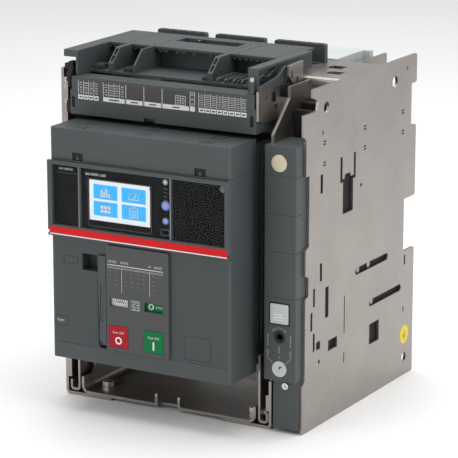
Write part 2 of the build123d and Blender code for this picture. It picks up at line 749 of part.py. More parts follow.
def push_button(centre):
    x, z = centre
    half = button_size / 2
    button = front_prism(rounded((x - half, x + half), (z - half, z + half), 1.0), (panel_front - 0.2, -137.0))
    button += block((x - half - 0.7, x + half + 0.7), (-145.0, -142.5), (z - half - 0.7, z + half + 0.7))
    button -= rod("y", (x, -137.0, z), 6.2, 10.0)
    return button


def button_springs():
    springs = [tube("y", (x, -126.0, z), 5.2, 4.2, 20.0) for x, z in (off_centre, on_centre)]
    return Compound(children=springs)


flag_y = (-149.0, -148.0)
flag_travel = 11.0


def flag(window):
    # a two-colour tab behind its window; its other half waits above
    x, z = window
    plate = block((x[0] - 1.0, x[1] + 1.0), flag_y, (z[0] - 1.0, z[1] + 1.0 + flag_travel))
    plate += block((middle(x) - 2.0, middle(x) + 2.0), (flag_y[0], -140.0), (z[1] - 3.0, z[1] - 1.0))
    return plate


def charging_lever():
    lever = side_prism(Pos(lever_axis_y, lever_axis_z) * Circle(lever_radius), lever_x)
    arm = polygon([(lever_axis_y - lever_radius, lever_axis_z), (-152.6, lever_top - 2.0),
                   (-151.6, lever_top), (-147.5, lever_top), (-146.0, lever_axis_z + 30.0),
                   (lever_axis_y + 5.0, lever_axis_z + 8.0), (lever_axis_y, lever_axis_z)])
    lever += side_prism(arm, lever_x)
    lever -= side_prism(rounded((-154.0, -151.6), (lever_axis_z + 18.0, lever_axis_z + 58.0), 1.0),
                        (lever_x[0] + 2.2, lever_x[1] - 2.2))
    lever -= rod("x", (middle(lever_x), lever_axis_y, lever_axis_z), 2.06, 20)
    return lever


def reset_button():
    button = block((-117.6, -102.4), (cover_front - 0.1, -143.0), (91.6, 100.4))
    button -= block((-116.5, -104.0), (cover_front - 1, cover_front + 0.2), (93.0, 99.0))
    return button


flap_window_x = (-116.5, 81.5)
flap_window_z = (196.0, 258.0)
flap_rib_x = [(-86.4, -83.0), (19.3, 22.0)]


band_seat_depth = 0.3
band_seat_z = (185.6, 194.2)


def flap_frame():
    frame_x = (cover_x[0] + 1.0, cover_x[1] - 1.0)
    frame = block(flap_x, (front, flap_back), (flap_bottom + 6.0, flap_top))
    frame += block(frame_x, (front, flap_back), (flap_axis_z, flap_bottom + 6.0))
    frame += rod("x", (middle(frame_x), flap_axis_y, flap_axis_z), flap_radius, frame_x[1] - frame_x[0])
    pins = rod("x", (middle(flap_x), flap_axis_y, flap_axis_z), 0.8, flap_x[1] - flap_x[0] - 0.6)
    frame -= block(flap_window_x, (front - 1, flap_back + 1), flap_window_z)
    for x in flap_rib_x:
        frame += block(x, (front + 1.6, flap_back), (flap_window_z[0] - 1, flap_window_z[1] + 1))
    frame -= block((flap_x[0] + 1.4, flap_x[1] - 1.6), (front - 1, front + band_seat_depth), band_seat_z)
    frame += pins
    return frame


def flap_window():
    return block(flap_window_x, (front + 0.6, front + 1.6), flap_window_z)


unit_x = (-82.6, 18.9)
unit_z = (196.0, 257.5)
unit_face = -149.4
unit_front = -150.6
screen_x = (-74.0, -3.5)
screen_z = (205.4, 246.5)
trip_buttons = [(13.3, 229.2, 4.6), (13.2, 213.8, 3.3)]


def trip_unit():
    unit = front_prism(rounded(unit_x, unit_z, 1.5), (unit_face, -112.0))
    unit += front_prism(rounded((-75.6, -1.7), (198.8, 247.6), 2.5), (unit_front, unit_face))
    unit -= block(screen_x, (unit_front - 1, -149.0), screen_z)
    unit -= front_prism(rounded((8.7, 17.7), (199.9, 204.8), 1.5), (unit_front - 1, -146.0))
    for x, z, radius in trip_buttons:
        unit -= rod("y", (x, -148.0, z), radius + 0.3, 9.2)
    return unit


def trip_screen():
    return block((screen_x[0] + 0.1, screen_x[1] - 0.1), (-150.2, -149.0), (screen_z[0] + 0.1, screen_z[1] - 0.1))


def trip_button(x, z, radius):
    return rod("y", (x, -147.0, z), radius, 4.6)


def display_surround():
    # dark plates on both sides of the trip unit
    left_plate = block((trip_window_x[0] + 0.3, unit_x[0] - 0.3), (unit_face, -146.0), (190.5, 258.2))
    right_plate = block((unit_x[1] + 0.3, trip_window_x[1] - 0.3), (unit_face, -146.0), (190.5, 258.2))
    right_plate -= rod("y", (79.0, -149.0, 253.7), 1.6, 3)
    return Compound(children=[left_plate, right_plate])


# -------------------------------------------------------- moving part: inside

def pole_housing():
    wall = housing_wall
    body = block(housing_x, housing_y, housing_z)
    front_room_x = (housing_x[0] + wall, housing_x[1] - wall)
    body -= block(front_room_x, (housing_y[0] - 1, mid_wall[0]), (housing_z[0] + wall, housing_z[1] - wall))
    for x in pole_centres:
        body -= block((x - 26.0, x + 26.0), (mid_wall[1], housing_y[1] - wall), (housing_z[0] + wall, housing_z[1] + 1))
        body -= block((x - 8.0, x + 8.0), (mid_wall[0] - 1, mid_wall[1] + 1), (150.0, 206.0))
        for stab in (upper_stab_z, lower_stab_z):
            body -= block((x - stab_half_width - 0.5, x + stab_half_width + 0.5),
                          (housing_y[1] - wall - 1, housing_y[1] + 1), (stab - 8.3, stab + 8.3))
    # feet on both flanks that rest on the rails
    for x in [(housing_x[0] - 8.4, housing_x[0] + 1.0), (housing_x[1] - 1.0, housing_x[1] + 8.4)]:
        for y in arm_centres:
            body += block(x, (y - arm_half, y + arm_half), (arm_bottom, arm_bottom + 12.0))
    # upright ribs on both flanks
    for index in range(14):
        y = housing_y[0] + 8.0 + index * 8.4
        for x in [(housing_x[0] - 1, housing_x[0] + 1.0), (housing_x[1] - 1.0, housing_x[1] + 1)]:
            body -= block(x, (y, y + 4.0), (86.0, 280.0))
    return body


def arc_chute(x):
    chute = block((x - 25.6, x + 25.6), (-39.0, 12.0), (243.0, 290.0))
    for index in range(7):
        y = -35.0 + index * 6.6
        chute -= block((x - 22.6, x + 22.6), (y, y + 3.6), (242.0, 286.0))
    for index in range(6):
        y = -32.0 + index * 8.0
        chute -= block((x - 20.0, x + 20.0), (y, y + 3.0), (285.0, 291.0))
    return chute


def pivot_bracket(x):
    # the pin and cheeks that the contact arm turns on
    bracket = rod("x", (x, contact_axis_y, contact_axis_z), 3.0, 50.0)
    for side in (-1, 1):
        cheek = (x + side * 19.5 - 2.5, x + side * 19.5 + 2.5)
        bracket += block(cheek, (contact_axis_y - 5.0, contact_axis_y + 5.0), (lower_stab_z, contact_axis_z + 5.0))
    return bracket


jaw_back = 31.4


def stab_contacts(stab, inner_y):
    # a bar inside the pole, ending in the jaws that grip the cradle's blade
    contacts = []
    x_half = stab_half_width
    for x in pole_centres:
        bar = block((x - x_half, x + x_half), (inner_y, 14.0), (stab - 5.5, stab + 5.5))
        for side in (-1, 1):
            z = sorted((stab + side * 3.25, stab + side * 7.75))
            bar += block((x - x_half, x + x_half), (10.0, jaw_back), z)
            for finger in (-1, 1):
                cut_x = (x + finger * 6.7 - 0.6, x + finger * 6.7 + 0.6)
                bar -= block(cut_x, (18.0, jaw_back + 1), (stab - 9, stab + 9))
        if stab == lower_stab_z:
            bar += pivot_bracket(x)
        contacts.append(bar)
    return Compound(children=contacts)


def moving_contacts():
    # three contact arms with their insulated drive links, drawn in the open position
    arms = []
    for x in pole_centres:
        arm = block((x - 14.0, x + 14.0), (contact_axis_y - 5.0, contact_axis_y + 5.0),
                    (contact_axis_z, upper_stab_z + 6.0))
        arm += rod("x", (x, contact_axis_y, contact_axis_z), 7.0, 28.0)
        arm += block((x - 9.0, x + 9.0), (contact_axis_y + 5.0, -8.4), (upper_stab_z - 5.0, upper_stab_z + 5.0))
        arm += block((x - 5.0, x + 5.0), (-56.0, contact_axis_y), (172.0, 182.0))
        arm -= rod("x", (x, -52.0, 177.0), 2.6, 20)
        arm -= rod("x", (x, contact_axis_y, contact_axis_z), 3.05, 40)
        arms.append(arm)
    swing = Pos(0, contact_axis_y, contact_axis_z) * Rot(contact_open_angle, 0, 0) * Pos(0, -contact_axis_y, -contact_axis_z)
    return Compound(children=[swing * arm for arm in arms])


def current_sensors():
    rings = []
    for x in pole_centres:
        ring = front_prism(rounded((x - 25.6, x + 25.6), (lower_stab_z - 18.0, lower_stab_z + 18.0), 5.0), (-4.0, 9.0))
        ring -= block((x - 20.2, x + 20.2), (-6.0, 12.0), (lower_stab_z - 5.7, lower_stab_z + 5.7))
        rings.append(ring)
    return Compound(children=rings)


frame_plates_x = [(-50.0, -47.5), (12.5, 15.0)]


def mechanism_frame():
    outline = polygon([(-96.0, 76.0), (mid_wall[0], 76.0), (mid_wall[0], 231.8), (-96.0, 231.8)])
    frame = block((frame_plates_x[0][0], frame_plates_x[1][1]), (-98.0, -96.0), (76.0, 231.8))
    frame += block((frame_plates_x[0][0], frame_plates_x[1][1]), (-98.0, -62.0), (229.4, 231.8))
    frame += block((frame_plates_x[0][0], frame_plates_x[1][1]), (-84.0, -64.0), (217.0, 219.4))
    for x in [(frame_plates_x[0][1], -28.3), (-6.7, frame_plates_x[1][0])]:
        frame += block(x, (-84.0, -72.0), (159.0, 161.4))
    for x in frame_plates_x:
        plate = side_prism(outline, x)
        plate -= rod("x", (middle(x), shaft_y, shaft_z), shaft_radius + 0.08, 10)
        plate -= rod("x", (middle(x), -78.0, 112.0), 7.06, 10)
        frame += plate
    frame -= block((-30.0, -6.0), (-99.0, -95.0), (100.0, 200.0))
    return frame


def main_shaft():
    shaft = rod("x", (breaker_x, shaft_y, shaft_z), shaft_radius, housing_x[1] - housing_x[0] - 2 * housing_wall - 2)
    for x in pole_centres:
        for side in (-1, 1):
            plate_x = (x + side * 8.5 - 1.8, x + side * 8.5 + 1.8)
            crank = side_prism(Pos(shaft_y, shaft_z) * Circle(13.0), plate_x)
            crank += block(plate_x, (shaft_y - 6.0, shaft_y + 6.0), (shaft_z, shaft_z + 27.0))
            shaft += crank
    turn = Pos(0, shaft_y, shaft_z) * Rot(shaft_open_angle, 0, 0) * Pos(0, -shaft_y, -shaft_z)
    return turn * shaft


def charging_shaft():
    # camshaft with its ratchet wheel, which the lever and the motor wind
    shaft = rod("x", (-17.5, -78.0, 112.0), 7.0, 72.0)
    shaft += rod("x", (-40.0, -78.0, 112.0), 12.0, 9.0)
    teeth = 18
    points = []
    for index in range(teeth):
        angle = 2 * math.pi * index / teeth
        step = 2 * math.pi / teeth
        points.append((-78.0 + 14.6 * math.cos(angle), 112.0 + 14.6 * math.sin(angle)))
        points.append((-78.0 + 12.4 * math.cos(angle + step * 0.85), 112.0 + 12.4 * math.sin(angle + step * 0.85)))
    shaft += side_prism(polygon(points), (0.0, 5.0))
    return shaft


def closing_springs():
    springs = [tube("z", (x, -74.0, 189.2), 7.5, 5.3, 55.6) for x in (-36.0, 1.0)]
    return Compound(children=springs)


def spring_motor():
    motor = rod("x", (-82.0, -76.0, 96.0), 15.0, 52.0)
    motor += block((-62.0, frame_plates_x[0][0]), (-92.0, -60.0), (78.0, 116.0))
    motor -= rod("x", (-50.0, -78.0, 112.0), 8.0, 12.0)
    motor += rod("x", (-110.0, -76.0, 96.0), 4.0, 5.0)
    return motor


def release_coils():
    coils = []
    for x in (-38.0, -17.5, 3.0):
        coil = block((x - 8.5, x + 8.5), (-94.0, -62.0), (232.0, 256.0))
        coil += rod("y", (x, -97.0, 244.0), 3.0, 6.0)
        coils.append(coil)
    return Compound(children=coils)


def auxiliary_contacts():
    rack = block((-110.0, 75.0), (-97.0, -66.0), (262.0, 284.0))
    for index in range(18):
        x = -107.5 + index * 10.2
        rack -= block((x, x + 6.6), (-98.0, -84.0), (266.0, 279.0))
    return rack


def button_carrier():
    # steel plate behind the buttons, with the lever's pin in front and its arms back to the frame
    plate = block((-68.0, 24.0), (-116.0, -114.0), (72.0, 180.0))
    for x in frame_plates_x:
        plate += block(x, (-114.0, -98.0), (180.0 - 12.0, 180.0))
        plate += block(x, (-114.0, -98.0), (80.0, 92.0))
    cheeks = [(lever_x[0] - 3.0, lever_x[0] - 0.5), (lever_x[1] + 0.35, lever_x[1] + 1.6)]
    for x in cheeks:
        plate += block(x, (cover_front + cover_wall, -114.0), (76.0, 92.0))
    plate += rod("x", (middle(lever_x), lever_axis_y, lever_axis_z), 2.0, cheeks[1][1] - cheeks[0][0])
    return plate


nodes["left_side_plate"] = left_side_plate()
nodes["inner_side_plate"] = inner_side_plate()
nodes["outer_side_plate"] = outer_side_plate()
nodes["top_plate"] = top_plate()
nodes["base_pan"] = base_pan()
nodes["racking_column"] = racking_column()
nodes["column_foot"] = column_foot()
nodes["column_plug"] = column_plug()
nodes["racking_screw"] = racking_screw()
nodes["screw_bearing"] = screw_bearing()
nodes["racking_slider"] = racking_slider()
nodes["position_indicator"] = position_indicator()
nodes["release_button"] = release_button()
nodes["terminal_box"] = terminal_box()
nodes["connector_blocks"] = connector_blocks()
nodes["wiring_cover"] = wiring_cover()
nodes["phase_hoods"] = Compound(children=[phase_hood(x) for x in pole_centres])
nodes["rear_insulator"] = rear_insulator()
nodes["upper_terminals"] = rear_terminals(upper_stab_z)
nodes["lower_terminals"] = rear_terminals(lower_stab_z)
nodes["upper_shutter"] = shutter(upper_stab_z, 1)
nodes["lower_shutter"] = shutter(lower_stab_z, -1)
nodes["shutter_guides"] = shutter_guides()
nodes["side_brackets"] = Compound(children=[left_bracket(), right_bracket()])
nodes["hook_bracket"] = hook_bracket()
nodes["cradle_fasteners"] = cradle_fasteners()
nodes["left_rail"] = rail(*left_rail_x)
nodes["right_rail"] = rail(*right_rail_x)
nodes["rail_bolts"] = rail_bolts()
nodes["front_cover"] = front_cover()
nodes["cover_cap"] = cover_cap()
nodes["operating_panel"] = operating_panel()
nodes["off_button"] = push_button(off_centre)
nodes["on_button"] = push_button(on_centre)
nodes["button_springs"] = button_springs()
nodes["state_flag"] = flag(state_window)
nodes["spring_flag"] = flag(spring_window)
nodes["charging_lever"] = charging_lever()
nodes["reset_button"] = reset_button()
nodes["flap_frame"] = flap_frame()
nodes["flap_window"] = flap_window()
nodes["trip_unit"] = trip_unit()
nodes["trip_screen"] = trip_screen()
for name, button in zip(("trip_button_upper", "trip_button_lower"), trip_buttons):
    nodes[name] = trip_button(*button)
nodes["display_surround"] = display_surround()
nodes["pole_housing"] = pole_housing()
nodes["arc_chutes"] = Compound(children=[arc_chute(x) for x in pole_centres])
nodes["upper_contacts"] = stab_contacts(upper_stab_z, -8.0)
nodes["lower_contacts"] = stab_contacts(lower_stab_z, -22.0)
nodes["moving_contacts"] = moving_contacts()
nodes["current_sensors"] = current_sensors()
nodes["mechanism_frame"] = mechanism_frame()
nodes["main_shaft"] = main_shaft()
nodes["charging_shaft"] = charging_shaft()
nodes["closing_springs"] = closing_springs()
nodes["spring_motor"] = spring_motor()
nodes["release_coils"] = release_coils()
nodes["auxiliary_contacts"] = auxiliary_contacts()
nodes["button_carrier"] = button_carrier()

for name, solid in nodes.items():
    export_step(solid, f"parts/{name}.step")
    box = solid.bounding_box()
    print(f"{name:22s} {box.min.X:8.1f} {box.max.X:8.1f} {box.min.Y:8.1f} {box.max.Y:8.1f} "
          f"{box.min.Z:8.1f} {box.max.Z:8.1f}")
print(len(nodes), "nodes")
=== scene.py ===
import json
import math

import bmesh
import bpy
from mathutils import Matrix, Vector


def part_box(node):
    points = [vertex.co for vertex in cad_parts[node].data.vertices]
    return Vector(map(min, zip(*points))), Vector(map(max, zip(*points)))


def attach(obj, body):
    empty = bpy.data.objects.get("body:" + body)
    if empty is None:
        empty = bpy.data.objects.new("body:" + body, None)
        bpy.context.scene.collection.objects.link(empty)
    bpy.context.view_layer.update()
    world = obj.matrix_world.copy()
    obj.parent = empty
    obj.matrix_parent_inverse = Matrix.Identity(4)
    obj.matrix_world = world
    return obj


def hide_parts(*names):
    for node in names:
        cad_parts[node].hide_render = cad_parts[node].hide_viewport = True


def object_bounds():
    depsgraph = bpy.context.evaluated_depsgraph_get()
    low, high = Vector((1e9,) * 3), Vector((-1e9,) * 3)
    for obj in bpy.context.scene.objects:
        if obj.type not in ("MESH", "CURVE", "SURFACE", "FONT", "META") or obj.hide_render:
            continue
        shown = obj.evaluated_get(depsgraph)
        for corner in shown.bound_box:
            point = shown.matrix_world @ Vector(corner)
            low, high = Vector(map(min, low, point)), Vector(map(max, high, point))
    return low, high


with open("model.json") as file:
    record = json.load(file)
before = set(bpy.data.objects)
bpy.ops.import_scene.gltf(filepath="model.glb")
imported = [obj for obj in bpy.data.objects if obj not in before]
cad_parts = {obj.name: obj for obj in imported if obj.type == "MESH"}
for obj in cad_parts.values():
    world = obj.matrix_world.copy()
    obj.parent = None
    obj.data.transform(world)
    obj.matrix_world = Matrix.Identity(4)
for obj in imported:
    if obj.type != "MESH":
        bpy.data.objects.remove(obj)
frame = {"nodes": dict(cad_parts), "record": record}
cadLow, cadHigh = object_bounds()
record = frame["record"]
bodyOf = {node: body for body, nodes in record["behaviour"]["bodies"].items() for node in nodes}
slotOf = {part["node"]: part["material_slot"] for part in record["subparts"]}
mm = 0.001


# ---- shader helpers

class Wire:
    # one socket's value, so that sums on it add Math nodes
    def __init__(self, tree, socket):
        self.tree = tree
        self.socket = socket

    def maths(self, operation, first, second=0.0):
        made = self.tree.nodes.new("ShaderNodeMath")
        made.operation = operation
        for place, value in enumerate((first, second)):
            if isinstance(value, Wire):
                self.tree.links.new(value.socket, made.inputs[place])
            else:
                made.inputs[place].default_value = value
        return Wire(self.tree, made.outputs[0])

    def __add__(self, other): return self.maths("ADD", self, other)
    def __radd__(self, other): return self.maths("ADD", other, self)
    def __sub__(self, other): return self.maths("SUBTRACT", self, other)
    def __rsub__(self, other): return self.maths("SUBTRACT", other, self)
    def __mul__(self, other): return self.maths("MULTIPLY", self, other)
    def __rmul__(self, other): return self.maths("MULTIPLY", other, self)
    def __truediv__(self, other): return self.maths("DIVIDE", self, other)
    def __gt__(self, other): return self.maths("GREATER_THAN", self, other)
    def __lt__(self, other): return self.maths("LESS_THAN", self, other)
    def fraction(self): return self.maths("FRACT", self)
    def held(self): return self.maths("MINIMUM", self.maths("MAXIMUM", self, 0.0), 1.0)


class Finish:
    # one material, with the patterns that its recipes share
    def __init__(self, name):
        self.material = bpy.data.materials.new(name)
        self.material.use_nodes = True
        self.tree = self.material.node_tree
        self.tree.nodes.clear()
        self.surface = self.tree.nodes.new("ShaderNodeBsdfPrincipled")
        self.output = self.tree.nodes.new("ShaderNodeOutputMaterial")
        self.tree.links.new(self.surface.outputs[0], self.output.inputs["Surface"])

    def node(self, kind, settings=None, values=None, out=0):
        made = self.tree.nodes.new("ShaderNode" + kind)
        for name, value in (settings or {}).items():
            setattr(made, name, value)
        for name, value in (values or {}).items():
            if isinstance(value, Wire):
                self.tree.links.new(value.socket, made.inputs[name])
            else:
                made.inputs[name].default_value = value
        return Wire(self.tree, made.outputs[out])

    def place(self, stretch=(1, 1, 1)):
        where = self.node("TexCoord", out=3)
        return self.node("Mapping", {}, {"Vector": where, "Scale": stretch})

    def cloud(self, scale, detail=2.0, stretch=(1, 1, 1), rough=0.5):
        values = {"Vector": self.place(stretch), "Scale": scale, "Detail": detail, "Roughness": rough}
        return self.node("TexNoise", {"noise_dimensions": "3D"}, values)

    def cells(self, scale, stretch=(1, 1, 1)):
        values = {"Vector": self.place(stretch), "Scale": scale}
        colour = self.node("TexVoronoi", {"feature": "F1"}, values, out=1)
        return self.node("SeparateColor", {}, {"Color": colour})

    def edge(self, radius, gain=6.0):
        # 1 along sharp edges, fading to 0 within the radius
        turned = self.node("Bevel", {"samples": 4}, {"Radius": radius})
        flat = self.node("NewGeometry", out=1)
        same = self.node("VectorMath", {"operation": "DOT_PRODUCT"}, {0: turned, 1: flat}, out=1)
        return ((1.0 - same) * gain).held()

    def tint(self, share, first, second):
        return self.node("Mix", {"data_type": "RGBA"}, {0: share, 6: first, 7: second}, out=2)

    def coordinates(self):
        where = self.node("TexCoord", out=3)
        return [self.node("SeparateXYZ", {}, {0: where}, out=axis) for axis in range(3)]

    def relief(self, height, depth, strength=1.0, round_=0.0004):
        corner = self.node("Bevel", {"samples": 4}, {"Radius": round_})
        values = {"Height": height, "Distance": depth, "Strength": strength, "Normal": corner}
        return self.node("Bump", {}, values)

    def shade(self, **values):
        for name, value in values.items():
            socket = self.surface.inputs[name.replace("_", " ")]
            if isinstance(value, Wire):
                self.tree.links.new(value.socket, socket)
            else:
                socket.default_value = value
        return self.material


def lifted(colour, share):
    return tuple(min(1.0, c * share) for c in colour[:3]) + (1.0,)


# ---- finishes, one recipe for each kind of material

def moulded(name, tone, rough=0.5, grain=0.5, edgeLightAndWear=0.35, gloss=0.5):
    # injection-moulded plastic: eroded grain, faint flow marks, edges lightened in patches, partly rubbed
    # wear and partly a painted highlight
    f = Finish(name)
    flow = f.cloud(28, 4, (1, 1, 0.45))
    speck = f.cloud(900, 2)
    # edges lightened in patches: partly wear, partly a painted highlight
    edgeWearAndHighlight = f.edge(0.0009) * (f.cloud(260, 3) > 0.42) * edgeLightAndWear
    base = f.tint(flow, lifted(tone, 0.88), lifted(tone, 1.14))
    colour = f.tint((speck - 0.35) * 0.35, base, lifted(tone, 1.5))
    colour = f.tint(edgeWearAndHighlight, colour, lifted(tone, 2.1))
    roughness = rough + (flow - 0.5) * 0.16 + (speck - 0.5) * 0.12
    normal = f.relief(f.cloud(3400, 2) + f.cloud(1200, 2) * 0.6, 0.00006 * grain * 2, 0.5)
    return f.shade(Base_Color=colour, Roughness=roughness, Normal=normal, Specular_IOR_Level=gloss)


def gridMoulded(name, tone):
    # the cover's plastic, with its field of fine raised dots on the front; the grooves between the dots are
    # darkened as painted shade and the dots lightened as a painted highlight
    f = Finish(name)
    look = {"pitch": 0.0022, "dot": 0.34, "groove": 0.13, "bottom": 0.0745, "top": 0.1825,
            "panelLeft": -0.0545, "panelRight": 0.0185, "left": -0.1165, "right": 0.0835, "front": -0.149}
    x, y, z = f.coordinates()
    flow = f.cloud(28, 4, (1, 1, 0.45))
    speck = f.cloud(900, 2)
    u = (x / look["pitch"]).fraction() - 0.5
    v = (z / look["pitch"]).fraction() - 0.5
    dot = 1.0 - ((u * u + v * v) / look["dot"] ** 2).held()
    groove = (u * u > look["groove"]).maths("MAXIMUM", u * u > look["groove"], v * v > look["groove"])
    beside = ((x < look["panelLeft"]) + (x > look["panelRight"])).held()
    field = (z > look["bottom"]) * (z < look["top"]) * (x > look["left"]) * (x < look["right"]) * beside
    field = field * (y < look["front"])
    # edges lightened in patches: partly wear, partly a painted highlight
    edgeWearAndHighlight = f.edge(0.0009) * (f.cloud(260, 3) > 0.42) * 0.3
    base = f.tint(flow, lifted(tone, 0.88), lifted(tone, 1.14))
    # painted shade in the grooves between the dots, then a painted highlight on the dots
    colour = f.tint(groove * field * 0.55, base, lifted(tone, 0.35))
    colour = f.tint(dot * field * 0.12, colour, lifted(tone, 1.6))
    colour = f.tint(edgeWearAndHighlight, colour, lifted(tone, 2.1))
    roughness = 0.5 + (flow - 0.5) * 0.16 + (speck - 0.5) * 0.12
    normal = f.relief(f.cloud(3400, 2) * 0.12 + dot * field, 0.0001, 0.5)
    return f.shade(Base_Color=colour, Roughness=roughness, Normal=normal)


def stripedMoulded(name, tone):
    # the operating panel's plastic, with fine slanting ribs
    f = Finish(name)
    x, y, z = f.coordinates()
    flow = f.cloud(28, 4, (1, 1, 0.45))
    stripe = (((x * 0.8 + z) / 0.0021).fraction() - 0.5) * 2.0
    ridge = 1.0 - stripe * stripe
    base = f.tint(flow, lifted(tone, 0.9), lifted(tone, 1.12))
    colour = f.tint(ridge * 0.4, base, lifted(tone, 0.62))
    # painted highlight: edges lightened towards a pale tone
    colour = f.tint(f.edge(0.0008) * 0.25, colour, lifted(tone, 2.2))
    normal = f.relief(ridge + f.cloud(3400, 2) * 0.3, 0.00006, 0.5)
    return f.shade(Base_Color=colour, Roughness=0.5 + (flow - 0.5) * 0.16, Normal=normal)


def rolledSheet(name, tone, dark, rough=0.36):
    # zinc-plated rolled sheet: cloudy passivation, fine rolling lines, bright cut edges whose brightness is
    # partly a painted highlight
    f = Finish(name)
    cloudy = f.cloud(16, 5, (1, 1, 1), 0.62)
    smear = f.cloud(46, 4, (1, 1, 0.22), 0.6)
    lines = f.cloud(60, 3, (1, 1, 26))
    spangle = f.cells(210)
    handled = (f.cloud(9, 3) - 0.5) * 2.2
    base = f.tint((cloudy * 1.5 - 0.25).held(), lifted(dark, 1.0), lifted(tone, 1.0))
    base = f.tint((smear * 0.5).held(), base, lifted(tone, 1.1))
    base = f.tint(spangle * 0.16, base, lifted(tone, 1.28))
    # cut edges brightened, partly a painted highlight
    colour = f.tint(f.edge(0.00035) * 0.3, base, (0.86, 0.82, 0.77, 1.0))
    roughness = rough + (smear - 0.5) * 0.2 + (spangle - 0.5) * 0.06 + handled.held() * 0.08
    normal = f.relief(lines * 0.5 + spangle * 0.25 + smear, 0.00007, 0.35)
    return f.shade(Base_Color=colour, Roughness=roughness, Metallic=0.92, Normal=normal)


def turnedSteel(name, tone, rough=0.26):
    f = Finish(name)
    cloudy = f.cloud(120, 4)
    cut = f.cloud(900, 2, (1, 0.08, 1))
    base = f.tint(cloudy, lifted(tone, 0.82), lifted(tone, 1.12))
    # painted highlight: edges lightened towards near white
    colour = f.tint(f.edge(0.0005) * 0.5, base, (0.95, 0.94, 0.92, 1.0))
    normal = f.relief(cut, 0.00004, 0.4)
    return f.shade(Base_Color=colour, Roughness=rough + (cloudy - 0.5) * 0.2, Metallic=1.0, Normal=normal)


def iridescentZinc(name):
    # yellow-passivated zinc, with its green and pink bloom
    f = Finish(name)
    bloom = f.cloud(70, 3)
    shift = f.cloud(45, 2, (1, 1, 2))
    colour = f.tint((bloom * 2.2 - 0.6).held(), (0.52, 0.62, 0.45, 1), (0.78, 0.66, 0.42, 1))
    colour = f.tint((shift * 3.0 - 1.3).held(), colour, (0.76, 0.48, 0.5, 1))
    normal = f.relief(f.cloud(700, 2), 0.00003, 0.4)
    return f.shade(Base_Color=colour, Roughness=0.3 + bloom * 0.12, Metallic=0.85, Normal=normal)


def platedCopper(name):
    f = Finish(name)
    cloudy = f.cloud(40, 5, (1, 1, 1), 0.6)
    drawn = f.cloud(90, 2, (30, 1, 1))
    silver = ((f.cloud(14, 3) - 0.42) * 6.0).held()
    colour = f.tint(silver, (0.70, 0.42, 0.28, 1), (0.80, 0.77, 0.72, 1))
    colour = f.tint(cloudy * 0.35, colour, (0.42, 0.30, 0.24, 1))
    normal = f.relief(drawn, 0.00005, 0.4)
    return f.shade(Base_Color=colour, Roughness=0.25 + cloudy * 0.25, Metallic=1.0, Normal=normal)


def clearSheet(name):
    f = Finish(name)
    haze = f.cloud(60, 3)
    scuff = f.cloud(300, 2, (1, 1, 8))
    colour = f.tint(haze, (0.10, 0.11, 0.115, 1), (0.22, 0.23, 0.235, 1))
    alpha = 0.03 + (scuff - 0.5).held() * 0.04 + f.edge(0.0012) * 0.3
    normal = f.relief(scuff, 0.00002, 0.2)
    return f.shade(Base_Color=colour, Alpha=alpha, Roughness=0.06 + haze * 0.05, Normal=normal, IOR=1.5)


def litGlass(name, tone, strength):
    # a lit display: faint pixel rows over an even glow
    f = Finish(name)
    x, y, z = f.coordinates()
    rows = ((z / 0.0006).fraction() > 0.82) * 0.06 + ((x / 0.0006).fraction() > 0.82) * 0.04
    fall = f.cloud(18, 2)
    glow = f.tint((rows + (fall - 0.5) * 0.12).held(), tone, lifted(tone, 0.55))
    normal = f.relief(f.cloud(1500, 1), 0.00001, 0.2)
    return f.shade(Base_Color=glow, Emission_Color=glow, Emission_Strength=strength,
                   Roughness=0.18 + fall * 0.1, Normal=normal, Coat_Weight=0.4)


def printed(name, tone):
    # screen-printed ink, slightly uneven
    f = Finish(name)
    patch = f.cloud(420, 3)
    colour = f.tint(patch, lifted(tone, 0.86), lifted(tone, 1.05))
    normal = f.relief(f.cloud(2400, 2), 0.00002, 0.4)
    return f.shade(Base_Color=colour, Roughness=0.42 + patch * 0.2, Normal=normal)


